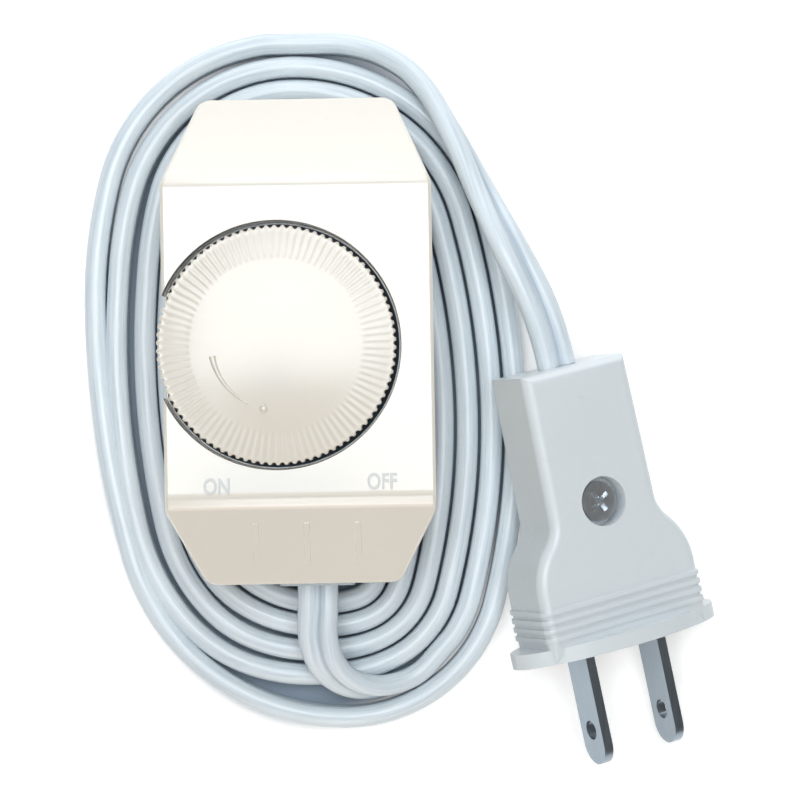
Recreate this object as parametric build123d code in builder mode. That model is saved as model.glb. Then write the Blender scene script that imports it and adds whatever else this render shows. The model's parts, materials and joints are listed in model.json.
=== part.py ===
from build123d import *
from math import atan2, ceil, cos, dist, pi, radians, sin, sqrt, tan
import os

os.makedirs("parts", exist_ok=True)

# Corded lamp dimmer, in millimetres. The dial faces +Z, the mains cord leaves the -Y end and the
# lamp outlet is in the +Y end. The origin is the middle of the dimmer's own box, without its cord.

# Driving sizes of the case
case_width = 40.0
case_length = 73.0
case_height = 28.0
end_width = 29.0
corner_run = 11.2
outlet_corner_run = 13.4
slope_run = 12.6
slope_drop = 12.0
slope_round = 4.0
wall = 2.0
corner_radius = 2.5
rim_radius = 0.6
split_height = 12.0
lip_height = 1.2
lip_clearance = 0.1

# Driving sizes of the dial
dial_radius = 17.7
dial_x = -3.2
dial_y = -0.7
dial_gap = 0.7
dial_rise = 1.4
dial_edge_height = 7.0
dial_floor_gap = 0.6
well_wall = 1.6
shaft_radius = 3.0
running_clearance = 0.05

# Driving sizes of the flat twin cord and where it leaves the case
cord_width = 6.2
cord_thickness = 3.1
cord_x = 1.8
cord_height = 6.5

# Shared by all pieces
overrun = 1.0
fit_clearance = 0.1
coil_clearance = 0.3
flat_cut = 0.5

# Levels
case_bottom = -(case_height + dial_rise) / 2
case_top = case_bottom + case_height
split_z = case_bottom + split_height
floor_z = case_bottom + wall
end_y = case_length / 2
end_top = case_top - slope_drop
well_radius = dial_radius + dial_gap
well_floor = case_top - dial_edge_height - dial_floor_gap
cup_radius = well_radius + well_wall
cup_bottom = well_floor - well_wall
cord_z = case_bottom + cord_height
coil_mid_z = case_bottom - coil_clearance - cord_width / 2
ground_z = coil_mid_z - cord_width / 2 + flat_cut
dial_axis = Axis((dial_x, dial_y, 0), (0, 0, 1))


def finish(piece, name):
    piece.part.label = name
    export_step(piece.part, "parts/" + name + ".step")


# Case outline from above, the room inside it, and the half-way line of the lip
half_width = case_width / 2
half_end = end_width / 2
with BuildSketch() as case_plan:
    with BuildLine():
        Polyline(
            (half_end, end_y),
            (half_width, end_y - outlet_corner_run),
            (half_width, -end_y + corner_run),
            (half_end, -end_y),
            (-half_end, -end_y),
            (-half_width, -end_y + corner_run),
            (-half_width, end_y - outlet_corner_run),
            (-half_end, end_y),
            close=True,
        )
    make_face()
    fillet(case_plan.vertices(), corner_radius)
with BuildSketch() as room_plan:
    add(case_plan.sketch)
    offset(amount=-wall)
with BuildSketch() as lip_plan:
    add(case_plan.sketch)
    offset(amount=-wall / 2)

# Case outline from the side, with its two sloped ends, and the room inside it
with BuildSketch(Plane.YZ) as case_side:
    with BuildLine():
        Polyline(
            (-end_y, case_bottom),
            (end_y, case_bottom),
            (end_y, end_top),
            (end_y - slope_run, case_top),
            (-end_y + slope_run, case_top),
            (-end_y, end_top),
            close=True,
        )
    make_face()
    fillet(case_side.vertices().group_by(Axis.Y)[-1], slope_round)
with BuildSketch(Plane.YZ) as room_side:
    add(case_side.sketch_local)
    offset(amount=-wall, kind=Kind.INTERSECTION)

# Places shared by the two shells
column_x = 14.4
column_y = 21.7
column_radius = 3.3
screw_radius = 1.3
screw_hole_radius = screw_radius + running_clearance
screw_head_radius = 2.3
screw_head_height = 1.7
screw_sink_depth = 6.0
screw_length = 14.0
column_places = GridLocations(2 * column_x, 2 * column_y, 2, 2).locations

# Lamp outlet block and its window in the +Y end wall
block_width = 21.6
block_height = 12.2
block_depth = 15.8
nose_width = 19.6
nose_low = 1.4
nose_height = 9.8
slot_spacing = 12.7
slot_width = 2.2
slot_height = 7.6
block_front = end_y - wall - fit_clearance
block_back = block_front - block_depth
nose_z = floor_z + nose_low + nose_height / 2

# Hollow of the upper shell, with the dial's cup and the screw columns left standing
with BuildPart() as upper_room:
    with BuildSketch(Plane.XY.offset(split_z - overrun)):
        add(room_plan.sketch)
    extrude(amount=case_height)
    extrude(room_side.sketch, amount=case_width, both=True, mode=Mode.INTERSECT)
    with BuildSketch(Plane.XY.offset(cup_bottom)):
        with Locations((dial_x, dial_y)):
            Circle(cup_radius)
    extrude(amount=case_height, mode=Mode.SUBTRACT)
    with BuildSketch(Plane.XY.offset(split_z - overrun)):
        with Locations(column_places):
            Circle(column_radius)
    extrude(amount=case_height, mode=Mode.SUBTRACT)

# Upper shell
rib_count = 3
rib_pitch = 7.6
rib_width = 0.9
rib_length = 9.0
rib_height = 0.2
rib_shift = 0.7
bushing_radius = 3.5
slope_middle = (0, -end_y + slope_run / 2, case_top - slope_drop / 2)
slope_plane = Plane(slope_middle, x_dir=(1, 0, 0), z_dir=(0, -slope_drop, slope_run))
with BuildPart() as upper_housing:
    with BuildSketch(Plane.XY.offset(split_z)):
        add(case_plan.sketch)
    extrude(amount=case_top - split_z)
    extrude(case_side.sketch, amount=case_width, both=True, mode=Mode.INTERSECT)
    fillet(upper_housing.edges().group_by(Axis.Z)[-1].filter_by(Axis.Y), rim_radius)
    with BuildSketch(slope_plane):
        with Locations((rib_shift, 0)):
            with GridLocations(rib_pitch, rib_length, rib_count, 1):
                Rectangle(rib_width, rib_length)
    extrude(amount=rib_height)
    add(upper_room.part, mode=Mode.SUBTRACT)
    with BuildSketch(Plane.XY.offset(split_z)):
        add(lip_plan.sketch)
    extrude(amount=lip_height + lip_clearance, mode=Mode.SUBTRACT)
    with BuildSketch(Plane.XY.offset(split_z)):
        with Locations(column_places):
            Circle(column_radius)
            Circle(screw_hole_radius, mode=Mode.SUBTRACT)
    extrude(amount=lip_height + wall)
    with BuildSketch(Plane.XY.offset(well_floor)):
        with Locations((dial_x, dial_y)):
            Circle(well_radius)
    extrude(amount=case_height, mode=Mode.SUBTRACT)
    with BuildSketch(Plane.XY.offset(cup_bottom - overrun)):
        with Locations((dial_x, dial_y)):
            Circle(bushing_radius + fit_clearance)
    extrude(amount=well_wall + 2 * overrun, mode=Mode.SUBTRACT)
    with BuildSketch(Plane.XY.offset(split_z)):
        with Locations(column_places):
            Circle(screw_hole_radius)
    extrude(amount=screw_length - (split_height - screw_sink_depth) + overrun, mode=Mode.SUBTRACT)
    with BuildSketch(Plane.XZ.offset(-end_y - overrun)):
        with Locations((0, nose_z)):
            Rectangle(nose_width + 2 * fit_clearance, nose_height + 2 * fit_clearance)
    extrude(amount=wall + 2 * overrun, mode=Mode.SUBTRACT)
finish(upper_housing, "upper_housing")

# Circuit board and the posts that carry it
board_post_height = 1.6
board_thickness = 1.6
board_post_radius = 2.4
board_screw_x = 14.4
board_screw_y = 12.6
board_half_width = 16.9
board_neck_half = 10.6
board_neck_y = -17.2
board_low_y = -26.2
board_z = floor_z + board_post_height
board_top = board_z + board_thickness
board_high_y = block_back - 3 * fit_clearance
board_places = [(board_screw_x, board_screw_y), (-board_screw_x, board_screw_y)]
board_screw_radius = 1.0
board_screw_length = 3.2

# Cord clamp and its posts, close behind the cord outlet
clamp_y = -30.0
clamp_spread = 6.2
clamp_post_radius = 2.1
clamp_bar_width = 4.4
clamp_bar_height = 2.0
clamp_screw_radius = 1.0
clamp_screw_length = 5.0
clamp_top = cord_z + cord_thickness / 2 + fit_clearance
clamp_places = [(cord_x - clamp_spread, clamp_y), (cord_x + clamp_spread, clamp_y)]

# Cord bush in the -Y end wall
bush_width = 9.6
bush_height = 6.2
bush_lip = 0.9
bush_lip_depth = 0.6

# Lower shell
with BuildPart() as lower_housing:
    with BuildSketch(Plane.XY.offset(case_bottom)):
        add(case_plan.sketch)
    extrude(amount=split_height)
    with BuildSketch(Plane.XY.offset(floor_z)):
        add(room_plan.sketch)
    extrude(amount=split_height, mode=Mode.SUBTRACT)
    with BuildSketch(Plane.XY.offset(split_z - wall)):
        add(lip_plan.sketch)
        offset(amount=-lip_clearance)
        add(room_plan.sketch, mode=Mode.SUBTRACT)
    extrude(amount=wall + lip_height)
    with BuildSketch(Plane.XY.offset(case_bottom)):
        with Locations(column_places):
            Circle(column_radius)
    extrude(amount=split_height)
    with BuildSketch(Plane.XY.offset(floor_z)):
        with Locations(board_places):
            Circle(board_post_radius)
        with Locations((board_neck_half - board_post_radius, board_low_y + board_post_radius)):
            Circle(board_post_radius)
        with Locations((-board_neck_half + board_post_radius, board_low_y + board_post_radius)):
            Circle(board_post_radius)
    extrude(amount=board_post_height)
    with BuildSketch(Plane.XY.offset(floor_z)):
        with Locations(clamp_places):
            Circle(clamp_post_radius)
    extrude(amount=clamp_top - floor_z)
    with BuildSketch(Plane.XY.offset(floor_z)):
        with Locations((cord_x, clamp_y)):
            Rectangle(cord_width, clamp_bar_width)
    extrude(amount=cord_z - cord_thickness / 2 - fit_clearance - floor_z)
    with BuildSketch(Plane.XY.offset(case_bottom - overrun)):
        with Locations(column_places):
            Circle(screw_hole_radius)
    extrude(amount=case_height, mode=Mode.SUBTRACT)
    with BuildSketch(Plane.XY.offset(case_bottom - overrun)):
        with Locations(column_places):
            Circle(screw_head_radius + fit_clearance)
    extrude(amount=screw_sink_depth + overrun, mode=Mode.SUBTRACT)
    with BuildSketch(Plane.XY.offset(board_z - board_screw_length + board_thickness - overrun / 2)):
        with Locations(board_places):
            Circle(board_screw_radius + running_clearance)
    extrude(amount=case_height, mode=Mode.SUBTRACT)
    with BuildSketch(Plane.XY.offset(clamp_top - clamp_screw_length)):
        with Locations(clamp_places):
            Circle(clamp_screw_radius + running_clearance)
    extrude(amount=case_height, mode=Mode.SUBTRACT)
    with BuildSketch(Plane.XZ.offset(-end_y - overrun)):
        with Locations((0, nose_z)):
            Rectangle(nose_width + 2 * fit_clearance, nose_height + 2 * fit_clearance)
    extrude(amount=wall + 2 * overrun, mode=Mode.SUBTRACT)
    with BuildSketch(Plane.XZ.offset(end_y - wall - overrun)):
        with Locations((cord_x, cord_z)):
            Rectangle(bush_width + 2 * fit_clearance, bush_height + 2 * fit_clearance)
    extrude(amount=wall + 2 * overrun, mode=Mode.SUBTRACT)
finish(lower_housing, "lower_housing")

# Four screws that hold the shells together, put in from below
head_z = case_bottom + screw_sink_depth
drive_depth_share = 0.6
drive_width_share = 0.25
with BuildPart() as housing_screws:
    with BuildSketch(Plane.XY.offset(head_z)):
        with Locations(column_places):
            Circle(screw_radius)
    extrude(amount=screw_length)
    with BuildSketch(Plane.XY.offset(head_z - screw_head_height)):
        with Locations(column_places):
            Circle(screw_head_radius)
    extrude(amount=screw_head_height)
    with BuildSketch(Plane.XY.offset(head_z - screw_head_height)):
        with Locations(column_places):
            Rectangle(1.2 * screw_head_radius, drive_width_share * screw_head_radius)
            Rectangle(drive_width_share * screw_head_radius, 1.2 * screw_head_radius)
    extrude(amount=drive_depth_share * screw_head_height, mode=Mode.SUBTRACT)
finish(housing_screws, "housing_screws")

# Outlet block with two slots and a pocket behind each slot
contact_width = 4.6
contact_height = 7.0
contact_length = 12.0
contact_leaf = 0.6
block_wall = 1.6
pocket_depth = block_depth - block_wall
with BuildPart() as outlet_block:
    with BuildSketch(Plane.XZ.offset(-block_front)):
        with Locations((0, floor_z + block_height / 2)):
            Rectangle(block_width, block_height)
    extrude(amount=block_depth)
    with BuildSketch(Plane.XZ.offset(-end_y)):
        with Locations((0, nose_z)):
            Rectangle(nose_width, nose_height)
    extrude(amount=wall + fit_clearance + overrun)
    with BuildSketch(Plane.XZ.offset(-end_y - overrun)):
        with Locations((0, nose_z)):
            with GridLocations(slot_spacing, slot_height, 2, 1):
                Rectangle(slot_width, slot_height)
    extrude(amount=block_depth, mode=Mode.SUBTRACT)
    with BuildSketch(Plane.XZ.offset(-block_back + overrun)):
        with Locations((0, nose_z)):
            with GridLocations(slot_spacing, slot_height, 2, 1):
                Rectangle(contact_width + 2 * fit_clearance, slot_height + 2 * fit_clearance)
    extrude(amount=-pocket_depth - overrun, mode=Mode.SUBTRACT)
    fillet(outlet_block.edges().filter_by(Axis.Y).group_by(SortBy.LENGTH)[-1], wall / 8)
finish(outlet_block, "outlet_block")


def outlet_contact(side):
    # a sprung brass fork, open towards the slot, with a solder tail behind it
    x = side * slot_spacing / 2
    front = block_front - block_wall - fit_clearance
    with BuildPart() as contact:
        with BuildSketch(Plane.XY.offset(nose_z - contact_height / 2)):
            with Locations((x, front - contact_length / 2)):
                Rectangle(contact_width, contact_length)
            with Locations((x, front - contact_length / 2 + contact_leaf)):
                Rectangle(contact_width - 2 * contact_leaf, contact_length, mode=Mode.SUBTRACT)
        extrude(amount=contact_height)
        with BuildSketch(Plane.XY.offset(nose_z - contact_leaf)):
            with Locations((x, front - contact_length - contact_leaf)):
                Rectangle(contact_width - 2 * contact_leaf, 2 * contact_leaf + fit_clearance)
        extrude(amount=2 * contact_leaf)
    return contact


finish(outlet_contact(-1), "left_outlet_contact")
finish(outlet_contact(1), "right_outlet_contact")

# Circuit board with a neck between the screw columns of the cord's end
with BuildPart() as circuit_board:
    with BuildSketch(Plane.XY.offset(board_z)):
        with BuildLine():
            Polyline(
                (board_half_width, board_high_y),
                (board_half_width, board_neck_y),
                (board_neck_half, board_neck_y),
                (board_neck_half, board_low_y),
                (-board_neck_half, board_low_y),
                (-board_neck_half, board_neck_y),
                (-board_half_width, board_neck_y),
                (-board_half_width, board_high_y),
                close=True,
            )
        make_face()
        with Locations(board_places):
            Circle(board_screw_radius + fit_clearance, mode=Mode.SUBTRACT)
    extrude(amount=board_thickness)
finish(circuit_board, "circuit_board")

board_head_radius = 2.0
board_head_height = 1.3
with BuildPart() as board_screws:
    with BuildSketch(Plane.XY.offset(board_top - board_screw_length)):
        with Locations(board_places):
            Circle(board_screw_radius)
    extrude(amount=board_screw_length)
    with BuildSketch(Plane.XY.offset(board_top)):
        with Locations(board_places):
            Circle(board_head_radius)
            Rectangle(1.2 * board_head_radius, drive_width_share * board_head_radius, mode=Mode.SUBTRACT)
    extrude(amount=board_head_height)
    with BuildSketch(Plane.XY.offset(board_top)):
        with Locations(board_places):
            Circle(board_head_radius)
    extrude(amount=board_head_height / 2)
finish(board_screws, "board_screws")

# Switch and potentiometer stack on the board, on the dial's axis
switch_height = 5.4
track_thickness = 1.2
stack_half = 9.0
stack_radius = 8.4
stack_wall = 0.8
cup_gauge = 0.6
track_z = board_top + switch_height
pot_z = track_z + track_thickness
journal_radius = 1.6
shaft_top = case_top - 1.0
bushing_flange_radius = 5.2
bushing_flange = 0.8
nut_across = 10.0
nut_height = 2.0
bushing_top = well_floor + nut_height + cup_gauge

with BuildPart() as switch_case:
    with BuildSketch(Plane.XY.offset(board_top)):
        with Locations((dial_x, dial_y)):
            Rectangle(2 * stack_half, 2 * stack_half)
    extrude(amount=switch_height)
    with BuildSketch(Plane.XY.offset(board_top + stack_wall)):
        with Locations((dial_x, dial_y)):
            Rectangle(2 * (stack_half - stack_wall), 2 * (stack_half - stack_wall))
    extrude(amount=switch_height, mode=Mode.SUBTRACT)
finish(switch_case, "switch_case")

tongue_width = 13.0
tongue_depth = 1.8
with BuildPart() as resistance_track:
    with BuildSketch(Plane.XY.offset(track_z)):
        with Locations((dial_x, dial_y)):
            Rectangle(2 * stack_half, 2 * stack_half)
            Circle(journal_radius + running_clearance, mode=Mode.SUBTRACT)
        with Locations((dial_x, dial_y - stack_half - tongue_depth / 2)):
            Rectangle(tongue_width, tongue_depth)
    extrude(amount=track_thickness)
finish(resistance_track, "resistance_track")

pin_width = 1.0
pin_gauge = 0.5
pin_pitch = 5.0
with BuildPart() as potentiometer_terminals:
    with BuildSketch(Plane.XY.offset(board_top)):
        with Locations((dial_x, dial_y - stack_half - tongue_depth + pin_gauge)):
            with GridLocations(pin_pitch, pin_pitch, 3, 1):
                Rectangle(pin_width, pin_gauge)
    extrude(amount=track_z - board_top)
finish(potentiometer_terminals, "potentiometer_terminals")

with BuildPart() as potentiometer_case:
    with BuildSketch(Plane.XY.offset(pot_z)):
        with Locations((dial_x, dial_y)):
            Circle(stack_radius)
    extrude(amount=cup_bottom - pot_z)
    with BuildSketch(Plane.XY.offset(pot_z)):
        with Locations((dial_x, dial_y)):
            Circle(stack_radius - cup_gauge)
    extrude(amount=cup_bottom - pot_z - cup_gauge, mode=Mode.SUBTRACT)
    with BuildSketch(Plane.XY.offset(pot_z)):
        with Locations((dial_x, dial_y)):
            Circle(bushing_radius + running_clearance)
    extrude(amount=case_height, mode=Mode.SUBTRACT)
finish(potentiometer_case, "potentiometer_case")

with BuildPart() as potentiometer_bushing:
    with BuildSketch(Plane.XY.offset(cup_bottom - cup_gauge - bushing_flange)):
        with Locations((dial_x, dial_y)):
            Circle(bushing_flange_radius)
    extrude(amount=bushing_flange)
    with BuildSketch(Plane.XY.offset(cup_bottom - cup_gauge)):
        with Locations((dial_x, dial_y)):
            Circle(bushing_radius)
    extrude(amount=bushing_top - cup_bottom + cup_gauge)
    with BuildSketch(Plane.XY.offset(cup_bottom - cup_gauge - bushing_flange)):
        with Locations((dial_x, dial_y)):
            Circle(shaft_radius + running_clearance)
    extrude(amount=case_height, mode=Mode.SUBTRACT)
finish(potentiometer_bushing, "potentiometer_bushing")

with BuildPart() as potentiometer_nut:
    with BuildSketch(Plane.XY.offset(well_floor)):
        with Locations((dial_x, dial_y)):
            RegularPolygon(nut_across / 2, 6, major_radius=False)
            Circle(bushing_radius + running_clearance, mode=Mode.SUBTRACT)
    extrude(amount=nut_height)
finish(potentiometer_nut, "potentiometer_nut")

# Shaft, turning in the bushing, with a flat at its top and a thin journal below
rotor_radius = 6.4
rotor_height = 1.5
rotor_z = cup_bottom - cup_gauge - bushing_flange - 3 * fit_clearance - rotor_height
flat_depth = 1.4
hub_gap = 0.4
hub_low = bushing_top + hub_gap
flat_z = bushing_top + hub_gap / 2
cam_z = board_top + stack_wall + cup_gauge
cam_height = 1.6
with BuildPart() as dial_shaft:
    with BuildSketch(Plane.XY.offset(cam_z)):
        with Locations((dial_x, dial_y)):
            Circle(journal_radius)
    extrude(amount=rotor_z - cam_z)
    with BuildSketch(Plane.XY.offset(rotor_z)):
        with Locations((dial_x, dial_y)):
            Circle(shaft_radius)
    extrude(amount=shaft_top - rotor_z)
    with BuildSketch(Plane.XY.offset(flat_z)):
        with Locations((dial_x, dial_y + 2 * shaft_radius - flat_depth)):
            Rectangle(2 * shaft_radius + overrun, 2 * shaft_radius)
    extrude(amount=case_height, mode=Mode.SUBTRACT)
finish(dial_shaft, "dial_shaft")

with BuildPart() as wiper_rotor:
    with BuildSketch(Plane.XY.offset(rotor_z)):
        with Locations((dial_x, dial_y)):
            Circle(rotor_radius)
            Circle(shaft_radius, mode=Mode.SUBTRACT)
    extrude(amount=rotor_height)
finish(wiper_rotor, "wiper_rotor")

# Wiper: a sprung leg from the rotor down to the resistance track
wiper_width = 2.0
wiper_gauge = 0.4
wiper_reach = 5.6
wiper_foot = 1.6
with BuildPart() as wiper:
    with BuildSketch(Plane.XY.offset(rotor_z - wiper_gauge)):
        with Locations((dial_x, dial_y + wiper_reach - wiper_foot)):
            Rectangle(wiper_width, 2 * wiper_foot)
    extrude(amount=wiper_gauge)
    with BuildSketch(Plane.XY.offset(pot_z + fit_clearance)):
        with Locations((dial_x, dial_y + wiper_reach)):
            Rectangle(wiper_width, wiper_gauge)
    extrude(amount=rotor_z - pot_z - fit_clearance)
    with BuildSketch(Plane.XY.offset(pot_z + fit_clearance)):
        with Locations((dial_x, dial_y + wiper_reach - wiper_foot / 2)):
            Rectangle(wiper_width, wiper_foot)
    extrude(amount=wiper_gauge)
finish(wiper, "wiper")

# Cam on the shaft's foot and the snap switch that it works. The cam points to -X at rest.
cam_reach = 5.0
cam_width = 1.5
with BuildPart() as switch_cam:
    with BuildSketch(Plane.XY.offset(cam_z)):
        with Locations((dial_x, dial_y)):
            Circle(journal_radius + stack_wall)
        with Locations((dial_x - cam_reach / 2, dial_y)):
            Rectangle(cam_reach, cam_width)
        with Locations((dial_x, dial_y)):
            Circle(journal_radius, mode=Mode.SUBTRACT)
    extrude(amount=cam_height)
finish(switch_cam, "switch_cam")

pivot_radius = 0.6
pivot_y = dial_y - 6.2
pivot_x = dial_x - 0.9
arm_tooth = 2.2
arm_tooth_width = 1.1
arm_length = 5.6
arm_width = 1.0
arm_floor = board_top + stack_wall
arm_boss_radius = pivot_radius + stack_wall / 2
with BuildPart() as switch_pivot:
    with BuildSketch(Plane.XY.offset(arm_floor)):
        with Locations((pivot_x, pivot_y)):
            Circle(pivot_radius)
    extrude(amount=switch_height - stack_wall)
finish(switch_pivot, "switch_pivot")

with BuildPart() as switch_arm:
    with BuildSketch(Plane.XY.offset(cam_z)):
        with Locations((pivot_x, pivot_y)):
            Circle(arm_boss_radius)
        with Locations((pivot_x, pivot_y + arm_tooth / 2)):
            Rectangle(arm_tooth_width, arm_tooth)
        with Locations((pivot_x + arm_length / 2, pivot_y)):
            Rectangle(arm_length, arm_width)
        with Locations((pivot_x, pivot_y)):
            Circle(pivot_radius + running_clearance, mode=Mode.SUBTRACT)
    extrude(amount=cam_height)
finish(switch_arm, "switch_arm")

contact_strip = 0.5
contact_strip_length = 2.4
with BuildPart() as switch_contact:
    with BuildSketch(Plane.XY.offset(arm_floor)):
        with Locations(
            (
                pivot_x + arm_length - contact_strip_length / 2,
                pivot_y - arm_width / 2 - fit_clearance - contact_strip / 2,
            )
        ):
            Rectangle(contact_strip_length, contact_strip)
    extrude(amount=switch_height - stack_wall - cup_gauge)
finish(switch_contact, "switch_contact")

# Dial: knurled rim, shallow dome, hollow below, with a hub on the shaft and a raised mark
groove_count = 90
groove_radius = 0.35
rim_wall = 1.6
top_wall = 1.6
hub_radius = 5.0
mark_radius = 9.5
mark_width = 1.1
mark_height = 0.25
dot_radius = 0.6
mark_start = 187
mark_end = 242
dot_angle = 256
edge_round = 0.8
dial_low = case_top - dial_edge_height
dial_plane = Plane((dial_x, dial_y, 0), x_dir=(1, 0, 0), z_dir=(0, -1, 0))
dome_edge = dial_radius - edge_round
thin = mark_width / 4
mark_z = case_top + dial_rise * (1 - (mark_radius / dial_radius) ** 2)


def polar(radius, angle):
    return (radius * cos(radians(angle)), radius * sin(radians(angle)))


with BuildPart() as dial:
    with BuildSketch(Plane.XY.offset(dial_low)):
        with Locations((dial_x, dial_y)):
            Circle(dial_radius)
            with PolarLocations(dial_radius, groove_count):
                Circle(groove_radius, mode=Mode.SUBTRACT)
    extrude(amount=dial_edge_height - edge_round / 2)
    with BuildSketch(dial_plane):
        with BuildLine():
            Polyline(
                (0, case_top + dial_rise),
                (0, case_top - edge_round),
                (dial_radius - groove_radius, case_top - edge_round),
                (dial_radius - groove_radius, case_top - edge_round / 2),
                (dome_edge, case_top),
            )
            ThreePointArc(
                (dome_edge, case_top),
                (dome_edge / 2, case_top + 3 * dial_rise / 4),
                (0, case_top + dial_rise),
            )
        make_face()
    revolve(axis=dial_axis)
    with BuildSketch(Plane.XY.offset(dial_low)):
        with Locations((dial_x, dial_y)):
            Circle(dial_radius - rim_wall)
    extrude(amount=dial_edge_height - top_wall, mode=Mode.SUBTRACT)
    with BuildSketch(Plane.XY.offset(hub_low)):
        with Locations((dial_x, dial_y)):
            Circle(hub_radius)
    extrude(amount=case_top - top_wall - hub_low)
    with BuildSketch(Plane.XY.offset(hub_low)):
        with Locations((dial_x, dial_y)):
            Circle(shaft_radius)
            with Locations((0, 2 * shaft_radius - flat_depth)):
                Rectangle(2 * shaft_radius + overrun, 2 * shaft_radius, mode=Mode.SUBTRACT)
    extrude(amount=shaft_top - hub_low, mode=Mode.SUBTRACT)
    with BuildSketch(Plane((dial_x, dial_y, case_top))):
        with PolarLocations(mark_radius, 1, start_angle=dot_angle):
            Circle(dot_radius)
        with BuildLine():
            thick = [polar(mark_radius + half, mark_start) for half in (-mark_width / 2, mark_width / 2)]
            middle = [polar(mark_radius + half, (mark_start + mark_end) / 2) for half in (-thin, thin)]
            thin_end = [polar(mark_radius + half, mark_end) for half in (-thin / 2, thin / 2)]
            ThreePointArc(thick[0], middle[0], thin_end[0])
            Line(thin_end[0], thin_end[1])
            ThreePointArc(thin_end[1], middle[1], thick[1])
            Line(thick[1], thick[0])
        make_face()
    extrude(amount=mark_z + mark_height - case_top)
finish(dial, "dial")

# Heat sink along the right wall, with the triac bolted to it
sink_gauge = 1.2
sink_half = 10.0
sink_height = 12.5
sink_x = board_half_width - sink_gauge - fit_clearance
triac_width = 10.0
triac_thickness = 4.4
triac_height = 10.8
body_height = 5.8
triac_lift = 2.0
leg_gauge = 0.7
leg_pitch = 2.5
triac_screw_radius = 1.5
hole_drop = 2.6
tab_gauge = 1.3
triac_y = -1.5
triac_hole = (triac_y, board_top + triac_lift + triac_height - hole_drop)
with BuildPart() as heat_sink:
    with BuildSketch(Plane.XY.offset(board_top)):
        with Locations((sink_x + sink_gauge / 2, triac_y)):
            Rectangle(sink_gauge, 2 * sink_half)
    extrude(amount=sink_height)
    with BuildSketch(Plane.YZ.offset(sink_x - overrun)):
        with Locations(triac_hole):
            Circle(triac_screw_radius + fit_clearance)
    extrude(amount=sink_gauge + 2 * overrun, mode=Mode.SUBTRACT)
finish(heat_sink, "heat_sink")

with BuildPart() as triac:
    with BuildSketch(Plane.XY.offset(board_top + triac_lift)):
        with Locations((sink_x - tab_gauge / 2, triac_y)):
            Rectangle(tab_gauge, triac_width)
    extrude(amount=triac_height)
    with BuildSketch(Plane.XY.offset(board_top + triac_lift)):
        with Locations((sink_x - triac_thickness / 2, triac_y)):
            Rectangle(triac_thickness, triac_width)
    extrude(amount=body_height)
    with BuildSketch(Plane.XY.offset(board_top)):
        with Locations((sink_x - triac_thickness / 2, triac_y)):
            with GridLocations(leg_gauge, leg_pitch, 1, 3):
                Rectangle(leg_gauge, leg_gauge)
    extrude(amount=triac_lift)
    with BuildSketch(Plane.YZ.offset(sink_x - triac_thickness - overrun)):
        with Locations(triac_hole):
            Circle(triac_screw_radius + fit_clearance)
    extrude(amount=triac_thickness + 2 * overrun, mode=Mode.SUBTRACT)
finish(triac, "triac")

triac_head_height = 1.4
triac_head_radius = 2.2
with BuildPart() as triac_screw:
    with BuildSketch(Plane.YZ.offset(sink_x + sink_gauge)):
        with Locations(triac_hole):
            Circle(triac_screw_radius)
    extrude(amount=-sink_gauge - tab_gauge)
    with BuildSketch(Plane.YZ.offset(sink_x - tab_gauge)):
        with Locations(triac_hole):
            Circle(triac_head_radius)
    extrude(amount=-triac_head_height)
finish(triac_screw, "triac_screw")

# Box capacitors standing on the board
noise_x = 7.9
noise_y = -21.6
noise_size = (5.2, 8.4, 10.0)
timing_x = 8.7
timing_y = -8.2
timing_size = (4.4, 3.2, 7.6)
box_radius = 0.4
with BuildPart() as noise_capacitor:
    with BuildSketch(Plane.XY.offset(board_top)):
        with Locations((noise_x, noise_y)):
            RectangleRounded(noise_size[0], noise_size[1], box_radius)
    extrude(amount=noise_size[2])
    fillet(noise_capacitor.faces().sort_by(Axis.Z)[-1].edges(), box_radius)
finish(noise_capacitor, "noise_capacitor")

with BuildPart() as timing_capacitor:
    with BuildSketch(Plane.XY.offset(board_top)):
        with Locations((timing_x, timing_y)):
            RectangleRounded(timing_size[0], timing_size[1], box_radius)
    extrude(amount=timing_size[2])
    fillet(timing_capacitor.faces().sort_by(Axis.Z)[-1].edges(), box_radius)
finish(timing_capacitor, "timing_capacitor")

# Choke: a ferrite rod with a ribbed winding, lying along X on the board
choke_y = 12.0
choke_x = 2.0
rod_radius = 2.2
rod_length = 17.0
winding_radius = 3.2
winding_wire = 0.45
winding_turns = 14
choke_z = board_top + winding_radius + fit_clearance
choke_foot = 1.0
with BuildPart() as choke_core:
    with BuildSketch(Plane.YZ.offset(choke_x - rod_length / 2)):
        with Locations((choke_y, choke_z)):
            Circle(rod_radius)
    extrude(amount=rod_length)
    with BuildSketch(Plane.YZ.offset(choke_x - rod_length / 2)):
        with Locations((choke_y, (board_top + choke_z) / 2)):
            Rectangle(choke_foot, choke_z - board_top)
    extrude(amount=choke_foot)
    with BuildSketch(Plane.YZ.offset(choke_x + rod_length / 2 - choke_foot)):
        with Locations((choke_y, (board_top + choke_z) / 2)):
            Rectangle(choke_foot, choke_z - board_top)
    extrude(amount=choke_foot)
finish(choke_core, "choke_core")

winding_span = 2 * winding_wire * winding_turns
winding_plane = Plane((choke_x, choke_y, choke_z), x_dir=(1, 0, 0), z_dir=(0, 0, 1))
with BuildPart() as choke_winding:
    with BuildSketch(winding_plane):
        with Locations((0, (rod_radius + fit_clearance + winding_radius - winding_wire) / 2)):
            Rectangle(winding_span, winding_radius - winding_wire - rod_radius - fit_clearance)
        with Locations((0, winding_radius - winding_wire)):
            with GridLocations(2 * winding_wire, winding_wire, winding_turns, 1):
                Circle(winding_wire)
    revolve(axis=Axis((choke_x, choke_y, choke_z), (1, 0, 0)))
finish(choke_winding, "choke_winding")

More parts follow.
